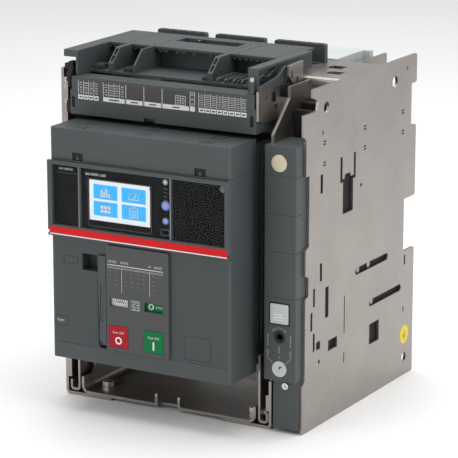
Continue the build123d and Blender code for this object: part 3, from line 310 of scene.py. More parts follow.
darkTone = (0.0508, 0.0604, 0.0627)
finishes = {
    "dark_plastic": moulded("darkMoulding", darkTone),
    "coverPlastic": gridMoulded("coverMoulding", darkTone),
    "panelPlastic": stripedMoulded("panelMoulding", (0.060, 0.064, 0.066)),
    "black_plastic": moulded("blackMoulding", (0.0025, 0.0025, 0.0028), 0.4, 0.2, 0.03, 0.06),
    "light_plastic": moulded("paleMoulding", (0.52, 0.56, 0.54), 0.5, 0.6, 0.1),
    "button_grey": moulded("greyButton", (0.50, 0.52, 0.52), 0.42, 0.4, 0.1),
    "red_plastic": moulded("redButton", (0.36, 0.006, 0.016), 0.45, 0.3, 0.05, 0.2),
    "green_plastic": moulded("greenButton", (0.0, 0.155, 0.043), 0.45, 0.3, 0.05, 0.2),
    "flag_plastic": moulded("flagPlastic", (0.0, 0.16, 0.045), 0.45, 0.3, 0.05, 0.2),
    "insulator": moulded("mouldedInsulator", (0.50, 0.47, 0.40), 0.55, 0.8, 0.1),
    "zinc_steel": rolledSheet("zincSheet", (0.375, 0.346, 0.321), (0.25, 0.23, 0.213)),
    "plain_steel": turnedSteel("turnedSteel", (0.66, 0.64, 0.60)),
    "spring_steel": turnedSteel("springSteel", (0.22, 0.22, 0.23), 0.34),
    "contact_copper": platedCopper("platedCopper"),
    "clear_plastic": clearSheet("clearSheet"),
    "screen_face": litGlass("displayFace", (0.42, 0.46, 0.48, 1.0), 1.05),
    "tileGlow": litGlass("tileGlow", (0.004, 0.23, 0.50, 1.0), 1.15),
    "iridescent": iridescentZinc("columnPlugZinc"),
    "whiteInk": printed("whiteInk", (0.80, 0.81, 0.80)),
    "dimInk": printed("dimInk", (0.15, 0.16, 0.16)),
    "greyInk": printed("greyInk", (0.34, 0.36, 0.36)),
    "darkInk": printed("darkInk", (0.05, 0.055, 0.058)),
    "labelFilm": printed("labelFilm", (0.055, 0.052, 0.050)),
    "redBand": moulded("redBand", (0.60, 0.007, 0.012), 0.42, 0.2, 0.04, 0.2),
    "yellowFilm": printed("yellowFilm", (0.80, 0.60, 0.02)),
    # near-black, used mostly as painted shade in gaps, pockets and recesses that lie in shadow
    "shadowBlack": moulded("paintedShadowBlack", (0.006, 0.006, 0.007), 0.7, 0.3, 0.0),
    "keyInk": printed("keyInk", (0.45, 0.52, 0.75)),
    "bezelPlastic": moulded("bezelMoulding", (0.055, 0.057, 0.058), 0.35, 0.2, 0.05, 0.3),
    "lampGlow": litGlass("statusLamp", (0.55, 0.62, 0.60, 1.0), 0.5),
    "keyGlow": litGlass("keyGlow", (0.10, 0.16, 0.42, 1.0), 0.55),
    # a pale moulding for the seal ring, also used for the painted highlight lines on the flap
    "rimPlasticAndHighlight": moulded("rimMouldingAndHighlight", (0.17, 0.18, 0.185), 0.32, 0.2, 0.1),
    # near-black sheet used as painted shade behind the side plate's windows
    "shadeSheetBlack": moulded("shadeSheetBlack", (0.012, 0.0115, 0.011), 0.6, 0.5, 0.0, 0.2),
}
print("finishes made:", len(finishes))

for node, shown in frame["nodes"].items():
    shown.data.materials.clear()
    shown.data.materials.append(finishes[slotOf[node]])


# ---- mesh helpers; lengths in millimetres until a piece is finished

class Ruler:
    # places measured from a CAD node's box: right from its left side, back from its front, up from its bottom
    def __init__(self, node):
        low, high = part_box(node)
        self.low = low / mm
        self.high = high / mm

    def x(self, right): return self.low.x + right
    def y(self, behind): return self.low.y + behind
    def z(self, up): return self.low.z + up
    def xs(self, first, last): return self.x(first), self.x(last)
    def ys(self, first, last): return self.y(first), self.y(last)
    def zs(self, first, last): return self.z(first), self.z(last)
    def xz(self, *points): return [(self.x(right), self.z(up)) for right, up in points]
    def yz(self, *points): return [(self.y(behind), self.z(up)) for behind, up in points]
    def centre(self): return (self.low.x + self.high.x) / 2, (self.low.z + self.high.z) / 2


def addBox(bm, x, y, z):
    corners = [bm.verts.new((a, b, c)) for a in x for b in y for c in z]
    order = [(0, 1, 3, 2), (4, 6, 7, 5), (0, 4, 5, 1), (2, 3, 7, 6), (0, 2, 6, 4), (1, 5, 7, 3)]
    return [bm.faces.new([corners[i] for i in face]) for face in order]


def spin(axis):
    return {"x": Matrix.Rotation(math.pi / 2, 3, "Y"), "y": Matrix.Rotation(math.pi / 2, 3, "X"),
            "z": Matrix.Identity(3)}[axis]


def ringPoints(radius, steps, turn=0.0):
    angles = [turn + 2 * math.pi * i / steps for i in range(steps)]
    return [(radius * math.cos(angle), radius * math.sin(angle)) for angle in angles]


def addLathe(bm, centre, axis, profile, steps=32):
    # profile holds (radius, along) pairs; the ends are closed where the radius isn't 0
    turn = spin(axis)
    rings = []
    for radius, along in profile:
        if radius <= 0:
            rings.append([bm.verts.new(Vector(centre) + turn @ Vector((0, 0, along)))])
        else:
            rings.append([bm.verts.new(Vector(centre) + turn @ Vector((a, b, along)))
                          for a, b in ringPoints(radius, steps)])
    for first, second in zip(rings, rings[1:]):
        for i in range(steps):
            j = (i + 1) % steps
            corners = [first[i % len(first)], first[j % len(first)],
                       second[j % len(second)], second[i % len(second)]]
            unique = list(dict.fromkeys(corners))
            if len(unique) > 2:
                bm.faces.new(unique)
    for ring in (rings[0], rings[-1]):
        if len(ring) > 1:
            bm.faces.new(ring)


def addPrism(bm, outline, axis, ends):
    # outline holds the two coordinates left when the axis is taken away, in X, Y, Z order
    def corner(point, along):
        a, b = point
        return {"x": (along, a, b), "y": (a, along, b), "z": (a, b, along)}[axis]
    near = [bm.verts.new(corner(point, ends[0])) for point in outline]
    far = [bm.verts.new(corner(point, ends[1])) for point in outline]
    bm.faces.new(near)
    bm.faces.new(far)
    for i in range(len(outline)):
        j = (i + 1) % len(outline)
        bm.faces.new([near[i], near[j], far[j], far[i]])


def roundedOutline(a, b, radius, steps=5):
    points = []
    corners = [(a[1] - radius, b[1] - radius, 0), (a[0] + radius, b[1] - radius, 1),
               (a[0] + radius, b[0] + radius, 2), (a[1] - radius, b[0] + radius, 3)]
    for ca, cb, quarter in corners:
        for step in range(steps + 1):
            angle = math.pi / 2 * (quarter + step / steps)
            points.append((ca + radius * math.cos(angle), cb + radius * math.sin(angle)))
    return points


def addFrameRing(bm, outer, inner, y):
    # a flat ring between two outlines with the same number of points
    rows = [[bm.verts.new((a, along, b)) for a, b in outline] for outline in (outer, inner) for along in y]
    count = len(outer)
    for first, second in ((0, 1), (1, 3), (3, 2), (2, 0)):
        for i in range(count):
            j = (i + 1) % count
            bm.faces.new([rows[first][i], rows[first][j], rows[second][j], rows[second][i]])


def addRoundRing(bm, x, z, radii, steps, y):
    outer, inner = ([(x + a, z + b) for a, b in ringPoints(radius, steps)] for radius in radii)
    addFrameRing(bm, outer, inner, y)


def addStroke(bm, points, width, y):
    # a printed line of even width through points in X and Z
    for (ax, az), (bx, bz) in zip(points, points[1:]):
        run = Vector((bx - ax, bz - az))
        side = Vector((-run.y, run.x)).normalized() * width / 2
        along = run.normalized() * width * 0.3
        a = Vector((ax, az)) - along
        b = Vector((bx, bz)) + along
        addPrism(bm, [tuple(a + side), tuple(b + side), tuple(b - side), tuple(a - side)], "y", y)


def finishPiece(name, bm, like, finish, bevel=0.0, segments=2, angle=35):
    # puts a mesh in the scene, in metres, riding with the body of the CAD node that it is like
    bmesh.ops.recalc_face_normals(bm, faces=bm.faces)
    bmesh.ops.scale(bm, vec=(mm, mm, mm), verts=bm.verts)
    mesh = bpy.data.meshes.new(name)
    bm.to_mesh(mesh)
    bm.free()
    return placeMesh(name, mesh, like, finish, bevel, segments, angle)


def placeMesh(name, mesh, like, finish, bevel, segments, angle):
    made = bpy.data.objects.new(name, mesh)
    bpy.context.scene.collection.objects.link(made)
    mesh.materials.clear()
    mesh.materials.append(finishes[finish])
    sharpen(mesh, angle)
    if bevel:
        soft = made.modifiers.new("edges", "BEVEL")
        soft.width = bevel * mm
        soft.segments = segments
        soft.limit_method = "ANGLE"
        soft.angle_limit = math.radians(angle)
        soft.harden_normals = True
        soft.use_clamp_overlap = True
    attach(made, bodyOf[like])
    return made


def sharpen(mesh, angle):
    bm = bmesh.new()
    bm.from_mesh(mesh)
    for face in bm.faces:
        face.smooth = True
    for edge in bm.edges:
        edge.smooth = len(edge.link_faces) == 2 and edge.calc_face_angle(0) < math.radians(angle)
    bm.to_mesh(mesh)
    bm.free()


def softened(node, name, finish, bevel, segments=2, angle=35):
    # the CAD node's own shape with its flat faces joined up and its edges rounded
    bm = bmesh.new()
    bm.from_mesh(frame["nodes"][node].data)
    bmesh.ops.remove_doubles(bm, verts=bm.verts, dist=2e-6)
    bmesh.ops.dissolve_limit(bm, angle_limit=math.radians(0.8), verts=bm.verts, edges=bm.edges)
    mesh = bpy.data.meshes.new(name)
    bm.to_mesh(mesh)
    bm.free()
    if "custom_normal" in mesh.attributes:
        mesh.attributes.remove(mesh.attributes["custom_normal"])
    made = placeMesh(name, mesh, node, finish, bevel, segments, angle)
    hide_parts(node)
    return made


def addCrossScrew(bm, centre, axis, radius, height):
    profile = [(1, 0), (1, 0.45), (0.8, 0.9), (0.55, 1), (0.5, 0.35), (0, 0.2)]
    addLathe(bm, centre, axis, [(radius * out, height * along) for out, along in profile], 28)


def lettering(name, words, height, centre, like, finish):
    # centre is in millimetres; the letters face the front
    curve = bpy.data.curves.new(name, "FONT")
    curve.body = words
    curve.size = height * 1.38 * mm
    curve.align_x = "CENTER"
    curve.align_y = "CENTER"
    curve.extrude = 0.00004
    drawn = bpy.data.objects.new(name + "Draft", curve)
    bpy.context.scene.collection.objects.link(drawn)
    bpy.context.view_layer.update()
    mesh = bpy.data.meshes.new_from_object(drawn.evaluated_get(bpy.context.evaluated_depsgraph_get()))
    bpy.data.objects.remove(drawn)
    mesh.transform(Matrix.Translation(Vector(centre) * mm) @ Matrix.Rotation(math.pi / 2, 4, "X"))
    return placeMesh(name, mesh, like, finish, 0, 1, 35)


ink = 0.06      # how far print stands off its surface

panelBox = Ruler("operating_panel")
capBox = Ruler("cover_cap")
flapBox = Ruler("flap_frame")
unitBox = Ruler("trip_unit")
screenBox = Ruler("trip_screen")
surroundBox = Ruler("display_surround")
boxBox = Ruler("terminal_box")
wiringBox = Ruler("wiring_cover")
columnBox = Ruler("racking_column")
outerBox = Ruler("outer_side_plate")
leftBox = Ruler("left_side_plate")
coverBox = Ruler("front_cover")

# ---- the shapes that CAD already has, with rounded edges

roundEdges = {
    "front_cover": ("frontCoverShell", "coverPlastic", 0.5),
    "cover_cap": ("coverCapShell", "dark_plastic", 0.5),
    "operating_panel": ("operatingPanelPlate", "panelPlastic", 0.4),
    "off_button": ("offButtonCap", "red_plastic", 0.5),
    "on_button": ("onButtonCap", "green_plastic", 0.5),
    "charging_lever": ("chargingLeverArm", "dark_plastic", 0.6),
    "flap_frame": ("flapRim", "dark_plastic", 0.35),
    "trip_unit": ("tripUnitHousing", "black_plastic", 0.3),
    "racking_column": ("rackingColumnShell", "dark_plastic", 0.5),
    "column_foot": ("columnFootShell", "dark_plastic", 0.5),
    "terminal_box": ("terminalBoxShell", "dark_plastic", 0.4),
    "wiring_cover": ("wiringCoverShell", "dark_plastic", 0.3),
    "phase_hoods": ("phaseHoodShells", "dark_plastic", 0.5),
    "release_button": ("releaseButtonCap", "button_grey", 0.4),
    "left_side_plate": ("leftSidePlateSheet", "zinc_steel", 0.3),
    "inner_side_plate": ("innerSidePlateSheet", "zinc_steel", 0.3),
    "outer_side_plate": ("outerSidePlateSheet", "zinc_steel", 0.3),
    "top_plate": ("topPlateSheet", "zinc_steel", 0.3),
    "base_pan": ("basePanSheet", "zinc_steel", 0.3),
    "left_rail": ("leftRailSheet", "zinc_steel", 0.3),
    "right_rail": ("rightRailSheet", "zinc_steel", 0.3),
    "side_brackets": ("sideBracketSheets", "zinc_steel", 0.25),
    "hook_bracket": ("hookBracketSheet", "zinc_steel", 0.25),
    "pole_housing": ("poleHousingShell", "dark_plastic", 0.3),
    "rear_insulator": ("rearInsulatorShell", "light_plastic", 0.5),
    "upper_terminals": ("upperTerminalBars", "contact_copper", 0.4),
    "lower_terminals": ("lowerTerminalBars", "contact_copper", 0.4),
    "rail_bolts": ("railBoltHeads", "plain_steel", 0.5),
    "cradle_fasteners": ("cradleBoltHeads", "plain_steel", 0.4),
    "column_plug": ("columnPlugCap", "iridescent", 0.4),
    "position_indicator": ("positionIndicatorDisc", "button_grey", 0.3),
}
for node, (name, finish, width) in roundEdges.items():
    softened(node, name, finish, width)
print("rounded pieces:", len(roundEdges))


# ---- operating panel

panelMarks = {
    "ruleHeight": 88.4, "ruleLeft": 1.8, "ruleRight": 66.1, "ruleWidth": 0.7,
    "columnLines": (18.1, 50.5), "columnBottom": 61.3, "columnTop": 86.0, "thin": 0.35,
    "codeLeft": 28.7, "codeBottom": 45.0, "codeSize": 10.2, "codeCells": 9,
    "textRows": (82.0, 77.6, 73.2, 68.8), "barHeight": 0.8, "barLength": 3.4,
    "barRuns": ((3.0, 2, 7.6), (21.5, 4, 7.0), (54.0, 1, 7.0)),
    "titleRuns": ((2.6, 5, 2.1), (17.0, 5, 2.0), (49.5, 2, 1.6), (56.0, 4, 2.4)),
}


def panelRatings():
    # rows of short dim bars where ratings would stand
    m = panelMarks
    y = panelBox.ys(-ink, 0.1)
    bm = bmesh.new()
    for row, up in enumerate(m["textRows"]):
        z = panelBox.zs(up, up + m["barHeight"])
        for start, count, pitch in m["barRuns"]:
            for part in range(count):
                left = start + part * pitch
                length = m["barLength"] - (part * 7 + row * 3) % 4 * 0.5
                addBox(bm, panelBox.xs(left, left + length), y, z)
    finishPiece("panelRatings", bm, "operating_panel", "dimInk")
    bm = bmesh.new()
    for start, count, pitch in m["titleRuns"]:
        for part in range(count):
            left = panelBox.x(start + part * pitch)
            low = panelBox.z(m["ruleHeight"] + 2.6)
            addBox(bm, (left, left + pitch * 0.62), y, (low, low + 2.3 + part % 2 * 0.4))
    finishPiece("panelTitle", bm, "operating_panel", "greyInk")


def panelPrint():
    m = panelMarks
    y = panelBox.ys(-ink, 0.1)
    bm = bmesh.new()
    x = panelBox.xs(m["ruleLeft"], m["ruleRight"])
    addBox(bm, x, y, panelBox.zs(m["ruleHeight"], m["ruleHeight"] + m["ruleWidth"]))
    for drop in (1.9, 2.9):
        z = panelBox.z(m["ruleHeight"] - drop)
        addBox(bm, x, y, (z, z + m["thin"] * 0.6))
    for right in m["columnLines"]:
        at = panelBox.x(right)
        addBox(bm, (at, at + m["thin"]), y, panelBox.zs(m["columnBottom"], m["columnTop"]))
    finishPiece("panelPrint", bm, "operating_panel", "whiteInk")
    panelRatings()

    # a square of generic cells, worked out from a formula
    bm = bmesh.new()
    size = m["codeSize"]
    addBox(bm, panelBox.xs(m["codeLeft"], m["codeLeft"] + size), y,
           panelBox.zs(m["codeBottom"], m["codeBottom"] + size))
    finishPiece("codeGround", bm, "operating_panel", "greyInk")
    bm = bmesh.new()
    cell = size / (m["codeCells"] + 1)
    for i in range(m["codeCells"]):
        for j in range(m["codeCells"]):
            if (i * i * 3 + j * 5 + i * j * 7) % 5 < 2:
                left = panelBox.x(m["codeLeft"] + cell * (i + 0.5))
                low = panelBox.z(m["codeBottom"] + cell * (j + 0.5))
                addBox(bm, (left, left + cell), (y[0] - 0.04, y[1]), (low, low + cell))
    finishPiece("codeCells", bm, "operating_panel", "darkInk")


def windowFrame(name, left, right, bottom, top, finish):
    bm = bmesh.new()
    outer = roundedOutline(panelBox.xs(left - 0.9, right + 0.9),
                           panelBox.zs(bottom - 0.9, top + 0.9), 1.4)
    inner = roundedOutline(panelBox.xs(left, right), panelBox.zs(bottom, top), 0.6)
    addFrameRing(bm, outer, inner, panelBox.ys(-ink * 3, 0.4))
    finishPiece(name, bm, "operating_panel", finish)


def flagFaces(node, name, upperFinish, word):
    # the second half of a flag in its other colour, and its printed word
    box = Ruler(node)
    bm = bmesh.new()
    split = 11.5
    addBox(bm, (box.x(0), box.high.x), box.ys(-0.05, 0.4), (box.z(split), box.high.z))
    finishPiece(name + "UpperHalf", bm, node, upperFinish)
    ringX, ringZ = box.x(6.9), box.z(split / 2)
    bm = bmesh.new()
    addRoundRing(bm, ringX, ringZ, (3.1, 1.9), 32, box.ys(-0.12, 0.1))
    finishPiece(name + "Ring", bm, node, "whiteInk")
    lettering(name + "Word", word, 2.3, (box.x(16.2), box.y(-0.06), ringZ), node, "whiteInk")


panelPrint()
windowFrame("stateWindowFrame", 44.3, 65.8, 45.7, 55.1, "panelPlastic")
windowFrame("springWindowFrame", 4.3, 25.3, 46.0, 54.4, "panelPlastic")
flagFaces("state_flag", "stateFlag", "red_plastic", "OPEN")


def springFace():
    # the spring flag shows a plain pale face with a zigzag spring mark
    box = Ruler("spring_flag")
    bm = bmesh.new()
    addBox(bm, (box.x(0), box.high.x), box.ys(-0.06, 0.2), box.zs(0, 11.5))
    finishPiece("springFlagFace", bm, "spring_flag", "whiteInk")
    bm = bmesh.new()
    zigzag = [(box.x(5.5 + i * 1.15), box.z(4.2 + (i % 2) * 3.2)) for i in range(11)]
    addStroke(bm, zigzag, 0.55, box.ys(-0.12, 0))
    addStroke(bm, box.xz((2.4, 5.8), (5.5, 4.2)), 0.5, box.ys(-0.12, 0))
    addStroke(bm, box.xz((17, 4.2), (20.4, 5.8)), 0.5, box.ys(-0.12, 0))
    finishPiece("springFlagMark", bm, "spring_flag", "darkInk")


springFace()

buttonMarks = {"word": 2.5, "letterDrop": -4.0, "wordRise": 4.2}


def buttonFace(node, name, letter, words):
    box = Ruler(node)
    middle, centre = box.centre()
    y = box.y(-ink / 2)
    lettering(name + "Word", words, buttonMarks["word"], (middle, y, centre + buttonMarks["wordRise"]),
              node, "whiteInk")
    bm = bmesh.new()
    z = centre + buttonMarks["letterDrop"]
    if letter == "O":
        addRoundRing(bm, middle, z, (3.9, 2.3), 40, (y, y + 0.3))
    else:
        addBox(bm, (middle - 0.9, middle + 0.9), (y, y + 0.3), (z - 4.4, z + 4.4))
    finishPiece(name + "Letter", bm, node, "whiteInk")


buttonFace("off_button", "offButton", "O", "Push OFF")
buttonFace("on_button", "onButton", "I", "Push ON")
print("operating panel done")

# ---- front cover details

coverMarks = {
    "keyLock": (17.0, 32.8, 100.2, 107.2), "padlock": (157.3, 186.0, 19.6, 43.6),
}


def coverBlanks():
    # knock-out plates for the key lock and the padlock, each with its break-out outline
    for name, key in (("keyLockBlank", "keyLock"), ("padlockBlank", "padlock")):
        left, right, bottom, top = coverMarks[key]
        bm = bmesh.new()
        front = capBox.low.y
        outline = roundedOutline(coverBox.xs(left, right), coverBox.zs(bottom, top), 1.0)
        addPrism(bm, outline, "y", (front + 0.1, front + 0.65))
        finishPiece(name, bm, "front_cover", "coverPlastic", 0.25)


leverMarks = {
    "gripCount": 5, "gripUp": 78.5, "gripPitch": 3.2,
    "spineCount": 9, "spineUp": 31.0, "spinePitch": 4.0,
}


def leverGrip():
    # ribs across the lever's finger end
    box = Ruler("charging_lever")
    bm = bmesh.new()
    for i in range(leverMarks["gripCount"]):
        z = box.z(leverMarks["gripUp"] + i * leverMarks["gripPitch"])
        addBox(bm, (box.x(1.6), box.high.x - 1.6), box.ys(-0.12, 0.8), (z, z + 1.3))
    finishPiece("leverGripRibs", bm, "charging_lever", "dark_plastic", 0.3)
    bm = bmesh.new()
    for i in range(leverMarks["spineCount"]):
        z = box.z(leverMarks["spineUp"] + i * leverMarks["spinePitch"])
        addBox(bm, (box.x(3.2), box.high.x - 3.2), box.ys(0.9, 2.4), (z, z + 1.6))
    finishPiece("leverSpineRibs", bm, "charging_lever", "dark_plastic", 0.25)
    # painted shadow: a black strip down the lever's left side, where the gap beside the cover lies in shade
    bm = bmesh.new()
    gapShadowOutline = [(0.0, 2.0), (0.0, 79.0), (0.35, 60.0), (0.9, 40.0),
             (1.9, 26.0), (1.3, 14.0), (1.5, 6.0), (4.2, 2.6)]
    addPrism(bm, [(box.x(right), box.z(up)) for right, up in gapShadowOutline], "y", box.ys(-0.05, 0.6))
    finishPiece("leverGapShadow", bm, "charging_lever", "shadowBlack")


coverBlanks()
leverGrip()

flapMarks = {
    "bandLeft": 1.6, "bandRight": 206.9, "bandBottom": 1.7, "bandTop": 10.0, "underline": 1.3,
    "strips": (36.3, 141.9), "stripWidth": 1.5, "stripSpan": (12.2, 73.8),
}


def flapBand():
    # the red band across the flap's foot, with its white underline
    m = flapMarks
    bm = bmesh.new()
    y = flapBox.ys(0.02, 0.5)
    outline = roundedOutline(flapBox.xs(m["bandLeft"], m["bandRight"]),
                             flapBox.zs(m["bandBottom"] + m["underline"], m["bandTop"]), 0.5)
    addPrism(bm, outline, "y", y)
    finishPiece("flapBand", bm, "flap_frame", "redBand")
    bm = bmesh.new()
    addBox(bm, flapBox.xs(m["bandLeft"] + 0.6, m["bandRight"] - 0.6), y,
           flapBox.zs(m["bandBottom"] + 0.2, m["bandBottom"] + m["underline"]))
    finishPiece("flapUnderline", bm, "flap_frame", "whiteInk")
    # the pin heads of the flap's two hinges
    bm = bmesh.new()
    for x in (flapBox.low.x + 0.3, flapBox.high.x - 0.9):
        addLathe(bm, (x, flapBox.y(1.6), flapBox.z(1.6)), "x", [(0.9, 0), (0.9, 0.45), (0.6, 0.6)], 20)
    finishPiece("flapPinHeads", bm, "flap_frame", "plain_steel")


flapBand()


def flapHighlightLines():
    # painted highlights: pale lines along the flap's lips and along the strips that split its window
    bm = bmesh.new()
    y = flapBox.ys(0.05, 0.4)
    right, top = 208.5, 77.5
    for x, z in (((0.9, right - 0.9), (top - 1.6, top - 0.9)), ((4.7, 204.3), (top - 3.7, top - 3.2)),
                 ((0.5, 1.1), (11.0, top - 1.0)), ((4.4, 5.0), (11.5, top - 3.4)),
                 ((203.7, 204.3), (11.5, top - 3.4)), ((right - 1.6, right - 0.8), (11.0, top - 1.0))):
        addBox(bm, flapBox.xs(x[0], x[1]), y, flapBox.zs(z[0], z[1]))
    finishPiece("flapLipHighlights", bm, "flap_frame", "rimPlasticAndHighlight", 0.12)
    bm = bmesh.new()
    for left in flapMarks["strips"]:
        addBox(bm, flapBox.xs(left, left + flapMarks["stripWidth"]), flapBox.ys(0.42, 0.7),
               flapBox.zs(*flapMarks["stripSpan"]))
    finishPiece("flapStripHighlights", bm, "flap_frame", "rimPlasticAndHighlight", 0.12)


flapHighlightLines()


latchMarks = {"pockets": ((26.7, 38.8), (166.7, 179.3)), "pocketSpan": (0.2, 7.4), "tongueSpan": (0.3, 3.2)}


def latchPocketShade():
    # painted shade: black fills in the pockets of the two cap latches, each with its tongue
    dark = bmesh.new()
    tongue = bmesh.new()
    for left, right in latchMarks["pockets"]:
        addBox(dark, capBox.xs(left, right), capBox.ys(1.2, 1.55), capBox.zs(*latchMarks["pocketSpan"]))
        middle = (left + right) / 2
        addBox(tongue, capBox.xs(middle - 2.2, middle + 1.4), capBox.ys(0.5, 1.3),
               capBox.zs(*latchMarks["tongueSpan"]))
    finishPiece("latchPocketShade", dark, "cover_cap", "shadowBlack")
    finishPiece("latchTongues", tongue, "cover_cap", "dark_plastic", 0.3)


def resetFace():
    box = Ruler("reset_button")
    middle, centre = box.centre()
    where = (middle - 0.6, box.y(-0.04), centre + 0.4)
    lettering("resetWord", "Reset", 2.6, where, "reset_button", "whiteInk")


latchPocketShade()
resetFace()

# ---- trip unit and its display

displayMarks = {
    "tileLeft": (4.9, 37.6), "tileBottom": (5.1, 22.2), "tileWidth": 27.8, "tileHeight": 14.6,
}


def displayTiles():
    m = displayMarks
    y = screenBox.ys(-0.12, 0.2)
    over = screenBox.ys(-0.2, 0)
    tiles = bmesh.new()
    marks = bmesh.new()
    for column, left in enumerate(m["tileLeft"]):
        for row, bottom in enumerate(m["tileBottom"]):
            x = screenBox.xs(left, left + m["tileWidth"])
            z = screenBox.zs(bottom, bottom + m["tileHeight"])
            addPrism(tiles, roundedOutline(x, z, 0.8), "y", y)
            cx, cz = (x[0] + x[1]) / 2, (z[0] + z[1]) / 2
            if (column, row) == (0, 1):
                for i, tall in enumerate((6.4, 4.6, 7.8, 3.4)):
                    addBox(marks, (cx - 5.2 + i * 2.8, cx - 3.6 + i * 2.8), over, (cz - 4.2, cz - 4.2 + tall))
                addBox(marks, (cx - 6.8, cx + 6.8), over, (cz - 5.2, cz - 4.6))
            elif (column, row) == (1, 1):
                arc = [(cx + 5.6 * math.cos(t), cz - 2.6 + 5.6 * math.sin(t))
                       for t in [math.pi * i / 14 for i in range(15)]]
                addStroke(marks, arc, 0.9, over)
                addStroke(marks, [(cx, cz - 2.6), (cx + 3.0, cz + 1.2)], 0.9, over)
                addBox(marks, (cx - 6.0, cx + 6.0), over, (cz - 4.2, cz - 3.5))
            elif (column, row) == (0, 0):
                for i in range(2):
                    for j in range(3):
                        addBox(marks, (cx - 5.6 + j * 4.1, cx - 2.6 + j * 4.1), over,
                               (cz - 3.9 + i * 4.1, cz - 0.9 + i * 4.1))
            else:
                board = ((-4.6, -5.0), (-4.6, 4.2), (4.6, 4.2), (4.6, -5.0), (-4.6, -5.0))
                for a, b in zip(board, board[1:]):
                    addStroke(marks, [(cx + a[0], cz + a[1]), (cx + b[0], cz + b[1])], 0.8, over)
                addBox(marks, (cx - 1.8, cx + 1.8), over, (cz + 3.4, cz + 5.8))
                for i in range(3):
                    addBox(marks, (cx - 2.8, cx + 2.8), over, (cz - 3.2 + i * 2.2, cz - 2.5 + i * 2.2))
    finishPiece("displayTiles", tiles, "trip_screen", "tileGlow")
    finishPiece("displayMarks", marks, "trip_screen", "whiteInk")


def unitDetails():
    # lamp ring, small marks beside the keys, port surround, seal screw and printed legends
    bm = bmesh.new()
    x, z = unitBox.x(96.1), unitBox.z(57.0)
    front = surroundBox.low.y
    addLathe(bm, (x, front, z), "y", [(3.0, 0.0), (3.0, 0.5), (2.3, 0.7), (2.1, 0.2), (0, 0.2)], 32)
    finishPiece("lampRing", bm, "trip_unit", "greyInk", 0.1)
    bm = bmesh.new()
    addLathe(bm, (x, front, z), "y", [(1.2, 0.15), (1.2, 0.5), (0.7, 0.75), (0, 0.8)], 24)
    finishPiece("lampLens", bm, "trip_unit", "lampGlow")
    bm = bmesh.new()
    y = (front - ink, front + 0.1)
    for width, up in ((5.0, 50.0), (3.5, 46.2), (4.2, 42.0), (4.8, 38.6)):
        addBox(bm, unitBox.xs(95.9 - width / 2, 95.9 + width / 2), y, unitBox.zs(up, up + 0.5))
    finishPiece("unitLegends", bm, "trip_unit", "dimInk")
    bm = bmesh.new()
    for left, wide, tall in ((3.6, 6.0, 2.2), (10.6, 8.4, 2.6), (20.4, 1.4, 2.0), (22.6, 5.0, 2.6)):
        addBox(bm, unitBox.xs(left, left + wide), y, unitBox.zs(54.2, 54.2 + tall))
    addBox(bm, unitBox.xs(78.2, 79.0), unitBox.ys(-ink, 0.1), unitBox.zs(47.6, 49.6))
    for left, wide in ((6.4, 3.0), (10.0, 1.2), (12.4, 6.4), (19.8, 2.6)):
        addBox(bm, surroundBox.xs(left, left + wide), y, surroundBox.zs(62.0, 64.0))
    finishPiece("unitTitle", bm, "trip_unit", "greyInk")
    bm = bmesh.new()
    addBox(bm, surroundBox.xs(3.4, 29.0), y, surroundBox.zs(58.8, 59.1))
    finishPiece("titleRule", bm, "display_surround", "dimInk")
    bm = bmesh.new()
    outer = roundedOutline(unitBox.xs(7.0, 80.9), unitBox.zs(2.8, 51.6), 2.4)
    inner = roundedOutline(unitBox.xs(7.9, 80.0), unitBox.zs(3.7, 50.7), 1.8)
    addFrameRing(bm, outer, inner, unitBox.ys(-0.15, 0.2))
    finishPiece("displayBezel", bm, "trip_unit", "bezelPlastic", 0.1)
    bm = bmesh.new()
    addLathe(bm, (surroundBox.x(194.2), front + 0.3, surroundBox.z(62.8)), "y",
             [(3.3, 0), (3.3, 1.0), (2.9, 1.2), (2.2, 0.7), (2.0, 0.9), (0, 0.95)], 36)
    finishPiece("sealRing", bm, "display_surround", "rimPlasticAndHighlight", 0.1)
    bm = bmesh.new()
    hook = [(surroundBox.x(194.2) + 1.3 * math.cos(t), surroundBox.z(62.8) + 1.3 * math.sin(t))
            for t in [math.radians(a) for a in range(-40, 221, 20)]]
    addStroke(bm, hook, 0.5, (front - 0.75, front - 0.5))
    finishPiece("sealMark", bm, "display_surround", "darkInk")
    bm = bmesh.new()
    outer = roundedOutline(unitBox.xs(90.3, 101.1), unitBox.zs(3.0, 9.8), 1.8)
    inner = roundedOutline(unitBox.xs(91.5, 99.9), unitBox.zs(4.2, 8.6), 1.4)
    addFrameRing(bm, outer, inner, (front - 0.35, front + 0.3))
    finishPiece("portSurround", bm, "trip_unit", "bezelPlastic", 0.12)


def keyFaces():
    # two lit keys, each with a ring and a small mark inside it
    for node, name, ring in (("trip_button_upper", "upperKey", (2.3, 1.5)),
                             ("trip_button_lower", "lowerKey", (1.7, 1.1))):
        frame["nodes"][node].data.materials[0] = finishes["keyGlow"]
        box = Ruler(node)
        x, z = box.centre()
        bm = bmesh.new()
        addRoundRing(bm, x, z, ring, 28, box.ys(-ink, 0.1))
        addBox(bm, (x - 0.4, x + 0.4), box.ys(-ink, 0.1), (z - 0.7, z + 0.7))
        finishPiece(name + "Glyph", bm, node, "keyInk")


displayTiles()
unitDetails()
keyFaces()
print("cover, flap and trip unit done")

# ---- terminal box labels

labelMarks = {
    # left, right, columns, rows of cells, tags under it
    "groups": [(9.7, 34.3, 4, 3, 4), (39.3, 64.8, 4, 3, 1), (149.6, 203.6, 8, 4, 8)],
    "cellBottom": 20.6, "cellTop": 35.2, "tagBottom": 16.1,
    "blanks": [(66.6, 85.5), (87.6, 106.9), (108.6, 138.6)], "line": 0.5,
}


